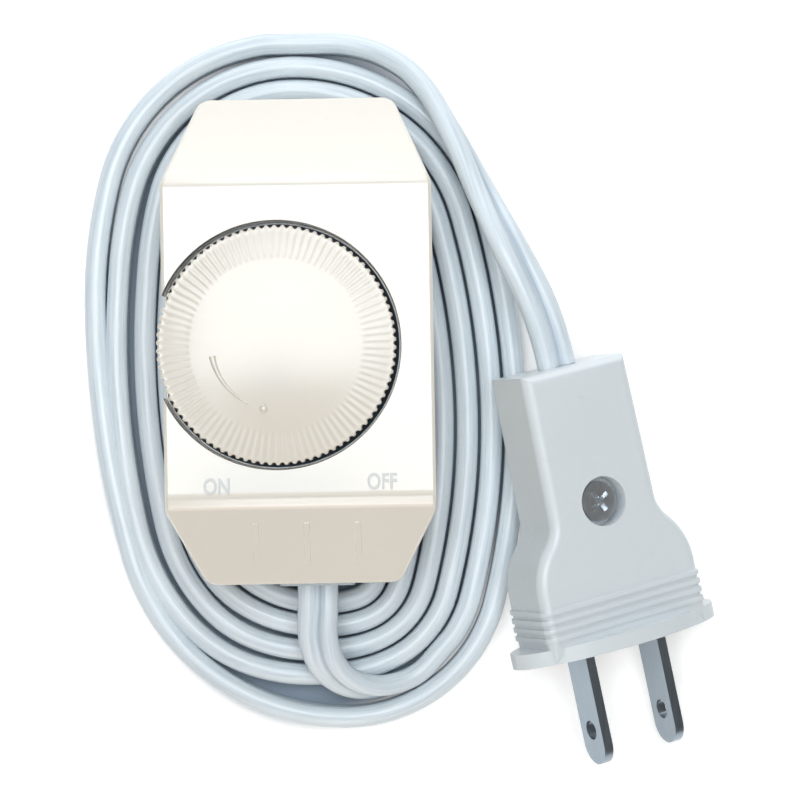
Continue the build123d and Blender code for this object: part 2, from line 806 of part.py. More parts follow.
# Fuse, resistors and diac: small barrels on wire legs
def barrel(piece_radius, piece_length, x, y, along_y=False):
    wire = min(piece_radius / 3, leg_gauge / 2)
    foot = 2.6 * wire
    lift = board_top + piece_radius + fit_clearance
    plane = Plane((x, y, lift), x_dir=(0, 0, 1), z_dir=(0, 1, 0) if along_y else (1, 0, 0))
    reach = piece_length / 2 + 3 * wire
    with BuildPart() as made:
        with BuildSketch(plane.offset(-piece_length / 2)):
            Circle(piece_radius)
        extrude(amount=piece_length)
        with BuildSketch(plane.offset(-reach)):
            Circle(wire)
        extrude(amount=2 * reach)
        for sign in (-1, 1):
            leg_x = x if along_y else x + sign * (reach - wire)
            leg_y = y + sign * (reach - wire) if along_y else y
            with BuildSketch(Plane.XY.offset(board_top)):
                with Locations((leg_x, leg_y)):
                    Rectangle(foot, foot)
            extrude(amount=lift + foot / 2 - board_top)
    return made


fuse_radius = 1.8
fuse_length = 8.0
fuse_x = 8.6
fuse_y = -14.2
resistor_radius = 1.15
resistor_length = 6.0
resistor_x = -4.0
resistor_y = -13.2
resistor_pitch = 3.0
diac_radius = 1.0
diac_length = 3.2
diac_x = -9.6
diac_y = -13.2
fuse = barrel(fuse_radius, fuse_length, fuse_x, fuse_y)
finish(fuse, "fuse")
diac = barrel(diac_radius, diac_length, diac_x, diac_y, along_y=True)
finish(diac, "diac")
resistor_upper = barrel(resistor_radius, resistor_length, resistor_x, resistor_y)
resistor_lower = barrel(resistor_radius, resistor_length, resistor_x, resistor_y - resistor_pitch)
with BuildPart() as resistors:
    add(resistor_upper.part)
    add(resistor_lower.part)
finish(resistors, "resistors")

# Section of the flat twin cord: two round lobes and the web between them
lobe_radius = cord_thickness / 2
lobe_spread = (cord_width - cord_thickness) / 2
web_share = 0.45
with BuildSketch() as twin_section:
    with Locations((-lobe_spread, 0), (lobe_spread, 0)):
        Circle(lobe_radius)
    Rectangle(2 * lobe_spread, web_share * cord_thickness)

# Cord bush, clamp and the stretch of cord that they hold
bush_inner_y = -end_y + wall
bush_outer_y = -end_y - bush_lip_depth
with BuildPart() as cord_grommet:
    with BuildSketch(Plane.XZ.offset(-bush_inner_y)):
        with Locations((cord_x, cord_z)):
            Rectangle(bush_width, bush_height)
    extrude(amount=wall)
    with BuildSketch(Plane.XZ.offset(end_y)):
        with Locations((cord_x, cord_z)):
            RectangleRounded(bush_width + 2 * bush_lip, bush_height + 2 * bush_lip, bush_lip)
    extrude(amount=bush_lip_depth)
    with BuildSketch(Plane.XZ.offset(-bush_inner_y - bush_lip_depth)):
        with Locations((cord_x, cord_z)):
            RectangleRounded(bush_width + 2 * bush_lip, bush_height + 2 * bush_lip, bush_lip)
    extrude(amount=bush_lip_depth)
    with BuildSketch(Plane.XZ.offset(-bush_inner_y - bush_lip_depth - overrun)):
        with Locations((cord_x, cord_z)):
            SlotOverall(cord_width + 2 * running_clearance, cord_thickness + 2 * running_clearance)
    extrude(amount=wall + 2 * bush_lip_depth + 2 * overrun, mode=Mode.SUBTRACT)
finish(cord_grommet, "cord_grommet")

clamped_end_y = clamp_y + clamp_bar_width / 2 + fit_clearance
with BuildPart() as clamped_cord:
    with BuildSketch(Plane.XZ.offset(-clamped_end_y)):
        with Locations((cord_x, cord_z)):
            add(twin_section.sketch)
    extrude(amount=clamped_end_y - bush_outer_y)
finish(clamped_cord, "clamped_cord")

bar_length = 2 * clamp_spread + 2 * clamp_post_radius
with BuildPart() as cord_clamp:
    with BuildSketch(Plane.XY.offset(clamp_top)):
        with Locations((cord_x, clamp_y)):
            SlotOverall(bar_length, clamp_bar_width - fit_clearance)
        with Locations(clamp_places):
            Circle(clamp_screw_radius + fit_clearance, mode=Mode.SUBTRACT)
    extrude(amount=clamp_bar_height)
finish(cord_clamp, "cord_clamp")

clamp_head_radius = 1.9
clamp_head_height = 1.2
with BuildPart() as clamp_screws:
    with BuildSketch(Plane.XY.offset(clamp_top - clamp_screw_length + overrun)):
        with Locations(clamp_places):
            Circle(clamp_screw_radius)
    extrude(amount=clamp_screw_length - overrun + clamp_bar_height)
    with BuildSketch(Plane.XY.offset(clamp_top + clamp_bar_height)):
        with Locations(clamp_places):
            Circle(clamp_head_radius)
    extrude(amount=clamp_head_height)
finish(clamp_screws, "clamp_screws")


# Bends of a cord or lead through its points, each as wide as its shorter run lets it be
def bend_radii(points):
    radii = []
    for before, corner, after in zip(points, points[1:], points[2:]):
        into = Vector(*corner) - Vector(*before)
        out = Vector(*after) - Vector(*corner)
        turn = into.get_angle(out)
        radii.append(0.45 * min(into.length, out.length) / tan(radians(turn) / 2))
    return radii


# Leads between the cord, the board and the outlet contacts
lead_radius = 1.1


def lead(points):
    with BuildPart() as made:
        with BuildLine() as route:
            FilletPolyline(*points, radius=bend_radii(points))
        with BuildSketch(Plane(route.line @ 0, z_dir=route.line % 0)):
            Circle(lead_radius)
        sweep()
    return made


lead_low_z = board_top + lead_radius + fit_clearance
tail_y = block_front - block_wall - fit_clearance - contact_length - 2 * contact_leaf
strip_x = -(board_half_width + stack_half - dial_x) / 2
lead_high_z = board_top + 3.5
live_points = [
    (cord_x + lobe_spread, clamped_end_y, cord_z),
    (cord_x + lobe_spread, -24.4, cord_z),
    (2.6, -19.4, lead_low_z),
    (2.0, -15.4, lead_low_z),
]
neutral_points = [
    (cord_x - lobe_spread, clamped_end_y, cord_z),
    (cord_x - lobe_spread, -25.0, cord_z),
    (-11.0, -17.4, lead_low_z),
    (strip_x, -11.8, lead_low_z),
    (strip_x, 6.2, lead_low_z),
    (-13.4, 12.6, lead_high_z + 0.3),
    (-slot_spacing / 2, 16.3, nose_z),
    (-slot_spacing / 2, tail_y - fit_clearance, nose_z),
]
load_points = [
    (slot_spacing / 2, tail_y - fit_clearance, nose_z),
    (slot_spacing / 2, 16.5, nose_z),
    (12.5, 16.2, lead_high_z),
    (12.6, 9.6, lead_high_z),
    (12.4, 7.8, board_top + lead_radius / 2),
]
finish(lead(live_points), "lead_live")
finish(lead(neutral_points), "lead_neutral")
finish(lead(load_points), "lead_load")

# Cord coil. Two strands lie side by side, wind inwards on quarter turns of two arcs each, and join in an S
# at the middle. Each side of the coil has its places for the strands, counted from the outside.
turn_pitch = 3.6
right_pitch = 3.75
top_x = -1.0
top_outer = 46.6
left_y = 14.0
left_outer = -32.3
left_extra = 0.8
bottom_x = 6.0
bottom_outer = -58.3
bottom_extra = 0.6
right_y = -12.0
right_outer = 32.8
side_turn = 15.0
middle_x = 1.0
entry_turn = 33.0
exit_bend_radius = 10.0
exit_bend = 9.0
end_run = cord_thickness


def top(place):
    return (top_x, top_outer - turn_pitch * place)


def left(place):
    return (left_outer + turn_pitch * place + (left_extra if place > 1 else 0), left_y)


def bottom(place):
    return (bottom_x, bottom_outer + turn_pitch * place + (bottom_extra if place > 0 else 0))


def right(place):
    return (right_outer - right_pitch * place, right_y)


def quarter_radii(start, stop):
    # radii of a quarter turn's arc along the coil's side and of its arc round the coil's end
    across = abs(stop[0] - start[0])
    along = abs(stop[1] - start[1])
    c = cos(radians(side_turn))
    s = sin(radians(side_turn))
    side = (along * c - across * (1 - s)) / (c + s - 1)
    end = (across * s - along * (1 - c)) / (c + s - 1)
    return side, end


plug_stations = [
    top(0), left(0), bottom(0), right(0), top(1), left(1), bottom(2),
    right(2), top(3), left(3), bottom(4), right(4), top(5), left(5),
]
exit_stations = [
    right(5), bottom(5), left(4), top(4), right(3), bottom(3), left(2), top(2), right(1),
]


def arc(line, radius, turn):
    return JernArc(start=line @ 1, tangent=line % 1, radius=radius, arc_size=turn)


with BuildLine() as coil_route:
    here = Line((top_x + end_run, top_outer), (top_x - end_run / 2, top_outer))
    last = top(0)
    for number, stop in enumerate(plug_stations[1:]):
        side, end = quarter_radii(last, stop)
        if number == 0:
            side, end = quarter_radii((top_x - end_run / 2, top_outer), stop)
        if number % 2:
            here = arc(here, side, side_turn)
            here = arc(here, end, 90 - side_turn)
        else:
            here = arc(here, end, 90 - side_turn)
            here = arc(here, side, side_turn)
        last = stop
    # the S at the middle follows the neighbouring strands' side arcs on both sides
    left_side = quarter_radii(left(4), bottom(5))[0] - turn_pitch
    right_side = quarter_radii(right(4), top(5))[0] - right_pitch
    here = arc(here, left_side, side_turn)
    low_turn = (middle_x - (here @ 1).X) / (1 + cos(radians(side_turn)))
    here = arc(here, low_turn, 180 - side_turn)
    right_top_x = right(5)[0] - right_side * (1 - cos(radians(side_turn)))
    right_top_y = right_y + right_side * sin(radians(side_turn))
    high_turn = (right_top_x - middle_x) / (1 + cos(radians(side_turn)))
    here = Line(here @ 1, (middle_x, right_top_y - high_turn * sin(radians(side_turn))))
    here = arc(here, high_turn, side_turn - 180)
    here = arc(here, right_side, -side_turn)
    last = right(5)
    for number, stop in enumerate(exit_stations[1:]):
        side, end = quarter_radii(last, stop)
        if number % 2:
            here = arc(here, end, side_turn - 90)
            here = arc(here, side, -side_turn)
        else:
            here = arc(here, side, -side_turn)
            here = arc(here, end, side_turn - 90)
        last = stop
    side, end = quarter_radii(last, bottom(1))
    here = arc(here, side, -side_turn)
    here = arc(here, end, -entry_turn + side_turn)
    here = arc(here, exit_bend_radius, -exit_bend)
    here = Line(here @ 1, here @ 1 + (here % 1) * end_run)

coil_path = coil_route.wire()
plug_end = coil_path @ 0
plug_heading = coil_path % 0
exit_end = coil_path @ 1
exit_heading = coil_path % 1
start_plane = Plane(
    (plug_end.X, plug_end.Y, coil_mid_z), x_dir=(0, 0, 1), z_dir=(plug_heading.X, plug_heading.Y, 0)
)
coil_wire = coil_path.moved(Location((0, 0, coil_mid_z)))
with BuildPart() as cord_coil:
    with BuildSketch(start_plane):
        add(twin_section.sketch)
        with Locations((-cord_width / 2, 0)):
            Rectangle(2 * flat_cut, cord_width, mode=Mode.SUBTRACT)
    sweep(path=coil_wire)
finish(cord_coil, "cord_coil")

# Least gap of the coil to itself, from points along its middle line
step = 1.0
samples = ceil(coil_path.length / step)
near_skip = ceil(3 * cord_width / step)
coil_points = [coil_path @ (number / samples) for number in range(samples + 1)]
flat_points = [(point.X, point.Y) for point in coil_points]
least = min(
    dist(flat_points[one], flat_points[two])
    for one in range(samples + 1)
    for two in range(one + near_skip, samples + 1)
)
print("coil: length", round(coil_path.length, 1), "least gap", round(least - cord_thickness, 3))


# Free stretches of the cord, each a plain tube of the cord's thickness
def cord_tube(points, name):
    radii = bend_radii(points)
    with BuildPart() as tube:
        with BuildLine() as route:
            FilletPolyline(*points, radius=radii)
        with BuildSketch(Plane(route.line @ 0, z_dir=route.line % 0)):
            Circle(cord_thickness / 2)
        sweep()
    length = route.wire().length
    ratio = tube.part.volume / (pi * (cord_thickness / 2) ** 2 * length)
    print(name, "length", round(length, 1), "radii", [round(r, 1) for r in radii], "volume", round(ratio, 4))
    finish(tube, name)
    return length


exit_lead_in = 3.5
exit_points = [
    (1.8, -37.1, -8.2),
    (1.8, -40.3, -8.2),
    (1.46, -45.25, -8.56),
    (2.82, -49.95, -10.86),
    (6.08, -52.96, -13.69),
    (10.3, -53.87, -16.04),
    (14.47, -52.91, -17.51),
    (exit_end.X + exit_heading.X * exit_lead_in, exit_end.Y + exit_heading.Y * exit_lead_in, coil_mid_z),
    (exit_end.X, exit_end.Y, coil_mid_z),
]
cord_tube(exit_points, "cord_exit_tail")

# Plug: where it lies, its lean, its roll and its slope down to the blades
plug_x = 47.21
plug_y = -46.76
plug_lean = 11.1
plug_slope = 4.5
plug_roll = 25.0
plug_lift = 0.3
plug_length = 43.3
flange_width = 35.0
flange_thickness = 16.6
flange_depth = 2.3
grip_width = 27.6
grip_start = 10.0
grip_end = 14.0
waist_width = 18.6
waist_start = 21.3
neck_width = 17.9
plug_thickness = 12.0
plug_round = 1.6
lean = radians(plug_lean)
slope = radians(plug_slope)
roll = radians(plug_roll)
plug_long = Vector(-sin(lean) * cos(slope), cos(lean) * cos(slope), sin(slope))
flat_right = Vector(cos(lean), sin(lean), 0)
flat_up = flat_right.cross(plug_long)
plug_right = flat_right * cos(roll) - flat_up * sin(roll)
plug_front = flat_up * cos(roll) + flat_right * sin(roll)
flange_drop = sqrt((flange_width / 2 * sin(roll)) ** 2 + (flange_thickness / 2 * cos(roll)) ** 2)
plug_origin = Vector(plug_x, plug_y, ground_z + plug_lift + flange_drop)
plug_mid = Plane(plug_origin, x_dir=plug_right, z_dir=plug_front)
plug_face = Plane(plug_origin, x_dir=plug_right, z_dir=plug_long * -1)


def plug_point(across, along, forward=0):
    return plug_origin + plug_right * across + plug_long * along + plug_front * forward


plug_tail_lead = 7.6
plug_lead_in = 5.0
plug_cord_start = plug_point(0, plug_length)
plug_cord_next = plug_point(0, plug_length + plug_tail_lead)
plug_points = [
    (plug_cord_start.X, plug_cord_start.Y, plug_cord_start.Z),
    (plug_cord_next.X, plug_cord_next.Y, plug_cord_next.Z),
    (31.55, 14.71, -5.28),
    (27.43, 23.63, -10.31),
    (24.43, 30.39, -11.46),
    (18.89, 40.72, -15.46),
    (13.04, 44.94, -17.33),
    (plug_end.X + plug_lead_in, plug_end.Y, coil_mid_z),
    (plug_end.X, plug_end.Y, coil_mid_z),
]
cord_tube(plug_points, "cord_plug_tail")

# Whole plug body, later parted along its middle into a front and a back shell
grip_rib_count = 4
grip_rib_pitch = 1.36
grip_rib_width = 0.7
grip_rib_height = 0.25
grip_rib_start = 3.4
with BuildPart() as plug_body:
    with BuildSketch(plug_mid):
        with BuildLine():
            Line((0, 0), (grip_width / 2, 0))
            Line((grip_width / 2, 0), (grip_width / 2, grip_start))
            Spline(
                (grip_width / 2, grip_start),
                ((grip_width + waist_width) / 4, (grip_end + waist_start) / 2 - overrun),
                (waist_width / 2, waist_start),
                tangents=((0, 1), (0, 1)),
            )
            Line((waist_width / 2, waist_start), (neck_width / 2, plug_length))
            Line((neck_width / 2, plug_length), (0, plug_length))
            mirror(about=Plane.YZ)
        make_face()
    extrude(amount=plug_thickness / 2, both=True)
    fillet(
        plug_body.edges().filter_by(lambda e: abs(plug_mid.to_local_coords(e.center()).Z) > plug_thickness / 2.1),
        plug_round,
    )
    with BuildSketch(plug_face.offset(-flange_depth)):
        Ellipse(flange_width / 2, flange_thickness / 2)
    extrude(amount=flange_depth)
    for number in range(grip_rib_count):
        with BuildSketch(plug_face.offset(-grip_rib_start - number * grip_rib_pitch)):
            RectangleRounded(
                grip_width + 2 * grip_rib_height, plug_thickness + 2 * grip_rib_height, plug_round
            )
        extrude(amount=-grip_rib_width)

# Room for the blades' roots, the screw's post and the cord inside the plug
plug_wall = 1.8
blade_width = 6.3
blade_gauge = 1.5
blade_out = 17.6
blade_in = 9.0
blade_hole_radius = 1.5
blade_hole_back = 5.4
screw_place = 22.2
post_radius = 4.5
sink_radius = 3.8
sink_depth = 3.4
plug_screw_radius = 1.5
plug_head_radius = 3.0
plug_head_height = 2.0
plug_nut_across = 5.5
plug_nut_height = 2.4
room_half = plug_thickness / 2 - plug_wall
with BuildPart() as plug_room:
    with BuildSketch(plug_mid):
        with BuildLine():
            Polyline(
                (0, flange_depth + plug_wall),
                (grip_width / 2 - plug_wall, flange_depth + plug_wall),
                (grip_width / 2 - plug_wall, blade_in + plug_wall),
                (waist_width / 2 - plug_wall, waist_start),
                (neck_width / 2 - plug_wall, plug_length - 3 * plug_wall),
                (0, plug_length - 3 * plug_wall),
            )
            mirror(about=Plane.YZ)
        make_face()
        with Locations((0, screw_place)):
            Circle(post_radius, mode=Mode.SUBTRACT)
    extrude(amount=room_half, both=True)
    with BuildSketch(plug_mid.offset(-blade_width / 2 - fit_clearance)):
        with Locations((-slot_spacing / 2, 0), (slot_spacing / 2, 0)):
            Rectangle(blade_gauge + 2 * fit_clearance, 2 * (flange_depth + plug_wall + overrun))
    extrude(amount=blade_width + 2 * fit_clearance)
    with BuildSketch(Plane(plug_point(0, plug_length + overrun), x_dir=plug_right, z_dir=plug_long * -1)):
        SlotOverall(cord_width + 2 * fit_clearance, cord_thickness + 2 * fit_clearance)
    extrude(amount=3 * plug_wall + 2 * overrun)

with BuildPart() as plug_front_shell:
    add(plug_body.part)
    split(bisect_by=plug_mid, keep=Keep.TOP)
    add(plug_room.part, mode=Mode.SUBTRACT)
    with BuildSketch(plug_mid):
        with Locations((0, screw_place)):
            Circle(plug_screw_radius + fit_clearance)
    extrude(amount=plug_thickness, mode=Mode.SUBTRACT)
    with BuildSketch(plug_mid.offset(plug_thickness / 2 - sink_depth)):
        with Locations((0, screw_place)):
            Circle(sink_radius)
    extrude(amount=plug_thickness, mode=Mode.SUBTRACT)
finish(plug_front_shell, "plug_front_shell")

with BuildPart() as plug_back_shell:
    add(plug_body.part)
    split(bisect_by=plug_mid, keep=Keep.BOTTOM)
    add(plug_room.part, mode=Mode.SUBTRACT)
    with BuildSketch(plug_mid):
        with Locations((0, screw_place)):
            Circle(plug_screw_radius + fit_clearance)
    extrude(amount=-plug_thickness, mode=Mode.SUBTRACT)
    with BuildSketch(plug_mid.offset(-plug_thickness / 2 + plug_nut_height)):
        with Locations((0, screw_place)):
            RegularPolygon(plug_nut_across / 2 + fit_clearance, 6, major_radius=False)
    extrude(amount=-plug_thickness, mode=Mode.SUBTRACT)
finish(plug_back_shell, "plug_back_shell")

with BuildPart() as plug_screw:
    with BuildSketch(plug_mid.offset(plug_thickness / 2 - sink_depth)):
        with Locations((0, screw_place)):
            Circle(plug_screw_radius)
    extrude(amount=sink_depth - plug_thickness)
    with BuildSketch(plug_mid.offset(plug_thickness / 2 - sink_depth)):
        with Locations((0, screw_place)):
            Circle(plug_head_radius)
    extrude(amount=plug_head_height)
    with BuildSketch(plug_mid.offset(plug_thickness / 2 - sink_depth + plug_head_height)):
        with Locations((0, screw_place)):
            Rectangle(1.2 * plug_head_radius, drive_width_share * plug_head_radius, rotation=30)
            Rectangle(drive_width_share * plug_head_radius, 1.2 * plug_head_radius, rotation=30)
    extrude(amount=-drive_depth_share * plug_head_height, mode=Mode.SUBTRACT)
finish(plug_screw, "plug_screw")

with BuildPart() as plug_nut:
    with BuildSketch(plug_mid.offset(-plug_thickness / 2 + plug_nut_height)):
        with Locations((0, screw_place)):
            RegularPolygon(plug_nut_across / 2, 6, major_radius=False)
            Circle(plug_screw_radius + running_clearance, mode=Mode.SUBTRACT)
    extrude(amount=-plug_nut_height + fit_clearance)
finish(plug_nut, "plug_nut")

terminal_place = 7.4
terminal_radius = 1.2
terminal_head_radius = 2.2
terminal_head_height = 1.3


def plug_blade(side):
    blade_side = Plane(
        plug_point(side * slot_spacing / 2 - blade_gauge / 2, 0), x_dir=plug_front, z_dir=plug_right
    )
    with BuildPart() as blade:
        with BuildSketch(blade_side):
            with Locations((0, blade_out / 2 - blade_in / 2 - blade_width / 4)):
                Rectangle(blade_width, blade_out + blade_in - blade_width / 2)
            with Locations((0, blade_out - blade_width / 2)):
                Circle(blade_width / 2)
            with Locations((0, blade_out - blade_hole_back)):
                Circle(blade_hole_radius, mode=Mode.SUBTRACT)
            with Locations((0, -terminal_place)):
                Circle(terminal_radius + running_clearance, mode=Mode.SUBTRACT)
        extrude(amount=blade_gauge)
    return blade


finish(plug_blade(-1), "plug_left_blade")
finish(plug_blade(1), "plug_right_blade")

with BuildPart() as plug_terminal_screws:
    for side in (-1, 1):
        inner = slot_spacing / 2 - blade_gauge / 2
        head = Plane(plug_point(side * inner, terminal_place), x_dir=plug_long, z_dir=plug_right * -side)
        with BuildSketch(head):
            Circle(terminal_head_radius)
        extrude(amount=terminal_head_height)
        with BuildSketch(head):
            Circle(terminal_radius)
        extrude(amount=-blade_gauge - terminal_head_height / 2)
finish(plug_terminal_screws, "plug_terminal_screws")

# The two cores of the cord inside the plug, from its neck past the screw's post to the terminals
core_radius = 1.15
core_out = post_radius + core_radius + fit_clearance
core_bend = 2.0
with BuildPart() as plug_cores:
    with BuildSketch(Plane(plug_point(0, plug_length), x_dir=plug_right, z_dir=plug_long * -1)):
        add(twin_section.sketch)
    extrude(amount=3 * plug_wall + overrun)
    for side in (-1, 1):
        split_along = plug_length - 3 * plug_wall - overrun
        core_points = [
            plug_point(side * lobe_spread, split_along),
            plug_point(side * lobe_spread, split_along - 2 * overrun),
            plug_point(side * core_out, screw_place + post_radius),
            plug_point(side * core_out, screw_place - post_radius),
            plug_point(side * terminal_head_radius, terminal_place + terminal_head_radius + core_radius),
        ]
        with BuildLine() as core_route:
            FilletPolyline(*core_points, radius=core_bend)
        with BuildSketch(Plane(core_route.line @ 0, z_dir=core_route.line % 0)):
            Circle(core_radius)
        sweep()
finish(plug_cores, "plug_cores")
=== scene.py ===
import json
from math import asin, cos, pi, radians, sin, tan

import bmesh
import bpy
from mathutils import Matrix, Vector


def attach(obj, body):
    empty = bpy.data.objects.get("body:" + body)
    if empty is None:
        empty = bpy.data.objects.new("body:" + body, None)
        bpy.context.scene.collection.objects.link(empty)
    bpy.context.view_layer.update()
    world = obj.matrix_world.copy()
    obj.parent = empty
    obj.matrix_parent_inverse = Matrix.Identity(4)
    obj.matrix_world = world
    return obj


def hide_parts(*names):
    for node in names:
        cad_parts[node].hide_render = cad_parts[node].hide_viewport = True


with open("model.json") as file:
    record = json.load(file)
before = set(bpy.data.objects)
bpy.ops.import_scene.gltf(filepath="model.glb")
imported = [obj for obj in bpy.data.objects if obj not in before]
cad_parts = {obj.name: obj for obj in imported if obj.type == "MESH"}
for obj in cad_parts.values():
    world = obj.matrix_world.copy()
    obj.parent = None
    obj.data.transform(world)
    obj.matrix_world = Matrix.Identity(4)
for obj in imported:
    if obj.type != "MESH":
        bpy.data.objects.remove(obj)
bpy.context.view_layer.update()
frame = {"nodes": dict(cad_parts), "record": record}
mm = 0.001
# the case's top face and the dial's axis, as the solids have them, in millimetres
caseTop = 13.3
dialAxis = (-3.2, -0.7)

print("camera")
# the photograph looks straight down on the dimmer; height above the top face, sizes in millimetres
photo = {"across": 117.65, "height": 514.0, "aimX": 14.87, "aimY": -9.10, "lean": -1.0, "film": 36.0}
cameraData = bpy.data.cameras.new("camera")
cameraData.sensor_width = photo["film"]
cameraData.lens = photo["height"] * photo["film"] / photo["across"]
camera = bpy.data.objects.new("camera", cameraData)
camera.location = (photo["aimX"] * mm, photo["aimY"] * mm, (caseTop + photo["height"]) * mm)
camera.rotation_euler = (0, 0, radians(photo["lean"]))
bpy.context.collection.objects.link(camera)
bpy.context.scene.camera = camera
bpy.context.scene.view_settings.view_transform = "Standard"


# ---- shader nodes ----
def newGroup(name, inputs, outputs):
    tree = bpy.data.node_groups.new(name, "ShaderNodeTree")
    for label, value in inputs.items():
        socket = tree.interface.new_socket(label, in_out="INPUT", socket_type="NodeSocketFloat")
        socket.default_value = value
    for label in outputs:
        tree.interface.new_socket(label, in_out="OUTPUT", socket_type="NodeSocketFloat")
    given = tree.nodes.new("NodeGroupInput").outputs
    return tree, given, tree.nodes.new("NodeGroupOutput").inputs


def mathNode(tree, operation, *values):
    node = tree.nodes.new("ShaderNodeMath")
    node.operation = operation
    for socket, value in zip(node.inputs, values):
        if isinstance(value, (int, float)):
            socket.default_value = value
        else:
            tree.links.new(value, socket)
    return node.outputs[0]


def product(tree, first, *others):
    for other in others:
        first = mathNode(tree, "MULTIPLY", first, other)
    return first


def distanceNode(tree, x, y):
    return mathNode(tree, "SQRT", mathNode(tree, "ADD", product(tree, x, x), product(tree, y, y)))


def objectPlace(tree):
    return tree.nodes.new("ShaderNodeTexCoord").outputs["Object"]


def splitNode(tree, vector):
    node = tree.nodes.new("ShaderNodeSeparateXYZ")
    tree.links.new(vector, node.inputs[0])
    return node.outputs


def joinNode(tree, *values):
    node = tree.nodes.new("ShaderNodeCombineXYZ")
    for socket, value in zip(node.inputs, values):
        tree.links.new(value, socket)
    return node.outputs[0]


def mixNode(tree, share, low, high):
    # each of the two colours is a socket or plain red, green and blue
    node = tree.nodes.new("ShaderNodeMix")
    node.data_type = "RGBA"
    tree.links.new(share, node.inputs[0])
    for socket, colour in ((node.inputs[6], low), (node.inputs[7], high)):
        if isinstance(colour, tuple):
            socket.default_value = (*colour, 1)
        else:
            tree.links.new(colour, socket)
    return node.outputs[2]


def noiseNode(tree, vector, scale, detail, rough=0.5):
    node = tree.nodes.new("ShaderNodeTexNoise")
    node.inputs["Detail"].default_value = detail
    node.inputs["Roughness"].default_value = rough
    if isinstance(scale, (int, float)):
        node.inputs["Scale"].default_value = scale
    else:
        tree.links.new(scale, node.inputs["Scale"])
    tree.links.new(vector, node.inputs["Vector"])
    return node.outputs["Fac"]


print("finishes")
# moulded grain: soft broad tone, fine orange peel and a few tiny handling marks
grainSizes = {"Broad": 40.0, "Fine": 900.0, "Marks": 0.3}
markNoise = {"scale": 260.0, "detail": 5.0, "rough": 0.7, "from": 0.68}
grain, grainIn, grainOut = newGroup("mouldedGrain", grainSizes, ["Tone", "Gloss", "Height"])
place = objectPlace(grain)
broad = noiseNode(grain, place, grainIn["Broad"], 2.0)
fine = noiseNode(grain, place, grainIn["Fine"], 3.0)
speckle = noiseNode(grain, place, markNoise["scale"], markNoise["detail"], markNoise["rough"])
marks = product(grain, mathNode(grain, "GREATER_THAN", speckle, markNoise["from"]), grainIn["Marks"])
tone = mathNode(grain, "MULTIPLY_ADD", fine, 0.35, product(grain, broad, 0.65))
grain.links.new(mathNode(grain, "SUBTRACT", tone, marks), grainOut["Tone"])
grain.links.new(mathNode(grain, "MULTIPLY_ADD", marks, 0.5, broad), grainOut["Gloss"])
grain.links.new(mathNode(grain, "MULTIPLY_ADD", broad, 0.4, fine), grainOut["Height"])

# drawn metal: streaks along one way, with faint tarnish in patches
drawnSizes = {"Along": 60.0, "Across": 2600.0, "Tarnish": 0.4}
patchScale = 190.0
drawn, drawnIn, drawnOut = newGroup("drawnMetal", drawnSizes, ["Tone", "Gloss", "Height"])
place = objectPlace(drawn)
x, y, z = splitNode(drawn, place)
across = drawnIn["Across"]
stretch = joinNode(drawn, product(drawn, x, across), product(drawn, y, drawnIn["Along"]), product(drawn, z, across))
streaks = noiseNode(drawn, stretch, 1.0, 3.0)
patches = noiseNode(drawn, place, patchScale, 4.0)
stain = product(drawn, patches, drawnIn["Tarnish"])
tone = mathNode(drawn, "MULTIPLY_ADD", streaks, 0.6, 0.4)
gloss = mathNode(drawn, "MULTIPLY_ADD", streaks, 0.5, product(drawn, patches, 0.5))
drawn.links.new(mathNode(drawn, "SUBTRACT", tone, stain), drawnOut["Tone"])
drawn.links.new(gloss, drawnOut["Gloss"])
drawn.links.new(streaks, drawnOut["Height"])

# painted shade of the narrow ring gap round the dial: full below the top face and out to the well's wall; metres
gapSizes = {
    "Axis X": 0.0, "Axis Y": 0.0, "Inner": 0.0174, "Outer": 0.01812, "Top": 0.0132, "Floor": 0.0055,
    "Side": -0.0197, "Steepness": 1800.0,
}
ringShade, ringIn, ringOut = newGroup("ringShade", gapSizes, ["Shade"])
x, y, z = splitNode(ringShade, objectPlace(ringShade))
offX = mathNode(ringShade, "SUBTRACT", x, ringIn["Axis X"])
offY = mathNode(ringShade, "SUBTRACT", y, ringIn["Axis Y"])
away = distanceNode(ringShade, offX, offY)
within = product(
    ringShade,
    mathNode(ringShade, "GREATER_THAN", away, ringIn["Inner"]),
    mathNode(ringShade, "LESS_THAN", away, ringIn["Outer"]),
    mathNode(ringShade, "GREATER_THAN", z, ringIn["Floor"]),
    mathNode(ringShade, "GREATER_THAN", x, ringIn["Side"]),
)
depth = product(ringShade, mathNode(ringShade, "SUBTRACT", ringIn["Top"], z), ringIn["Steepness"])
depth = mathNode(ringShade, "MINIMUM", mathNode(ringShade, "MAXIMUM", depth, 0.0), 1.0)
ringShade.links.new(product(ringShade, within, depth), ringOut["Shade"])

# finer values that all finishes share; the relief is in metres
surface = {"relief": 0.0002, "coatRough": 0.1, "dialCoatRough": 0.2}


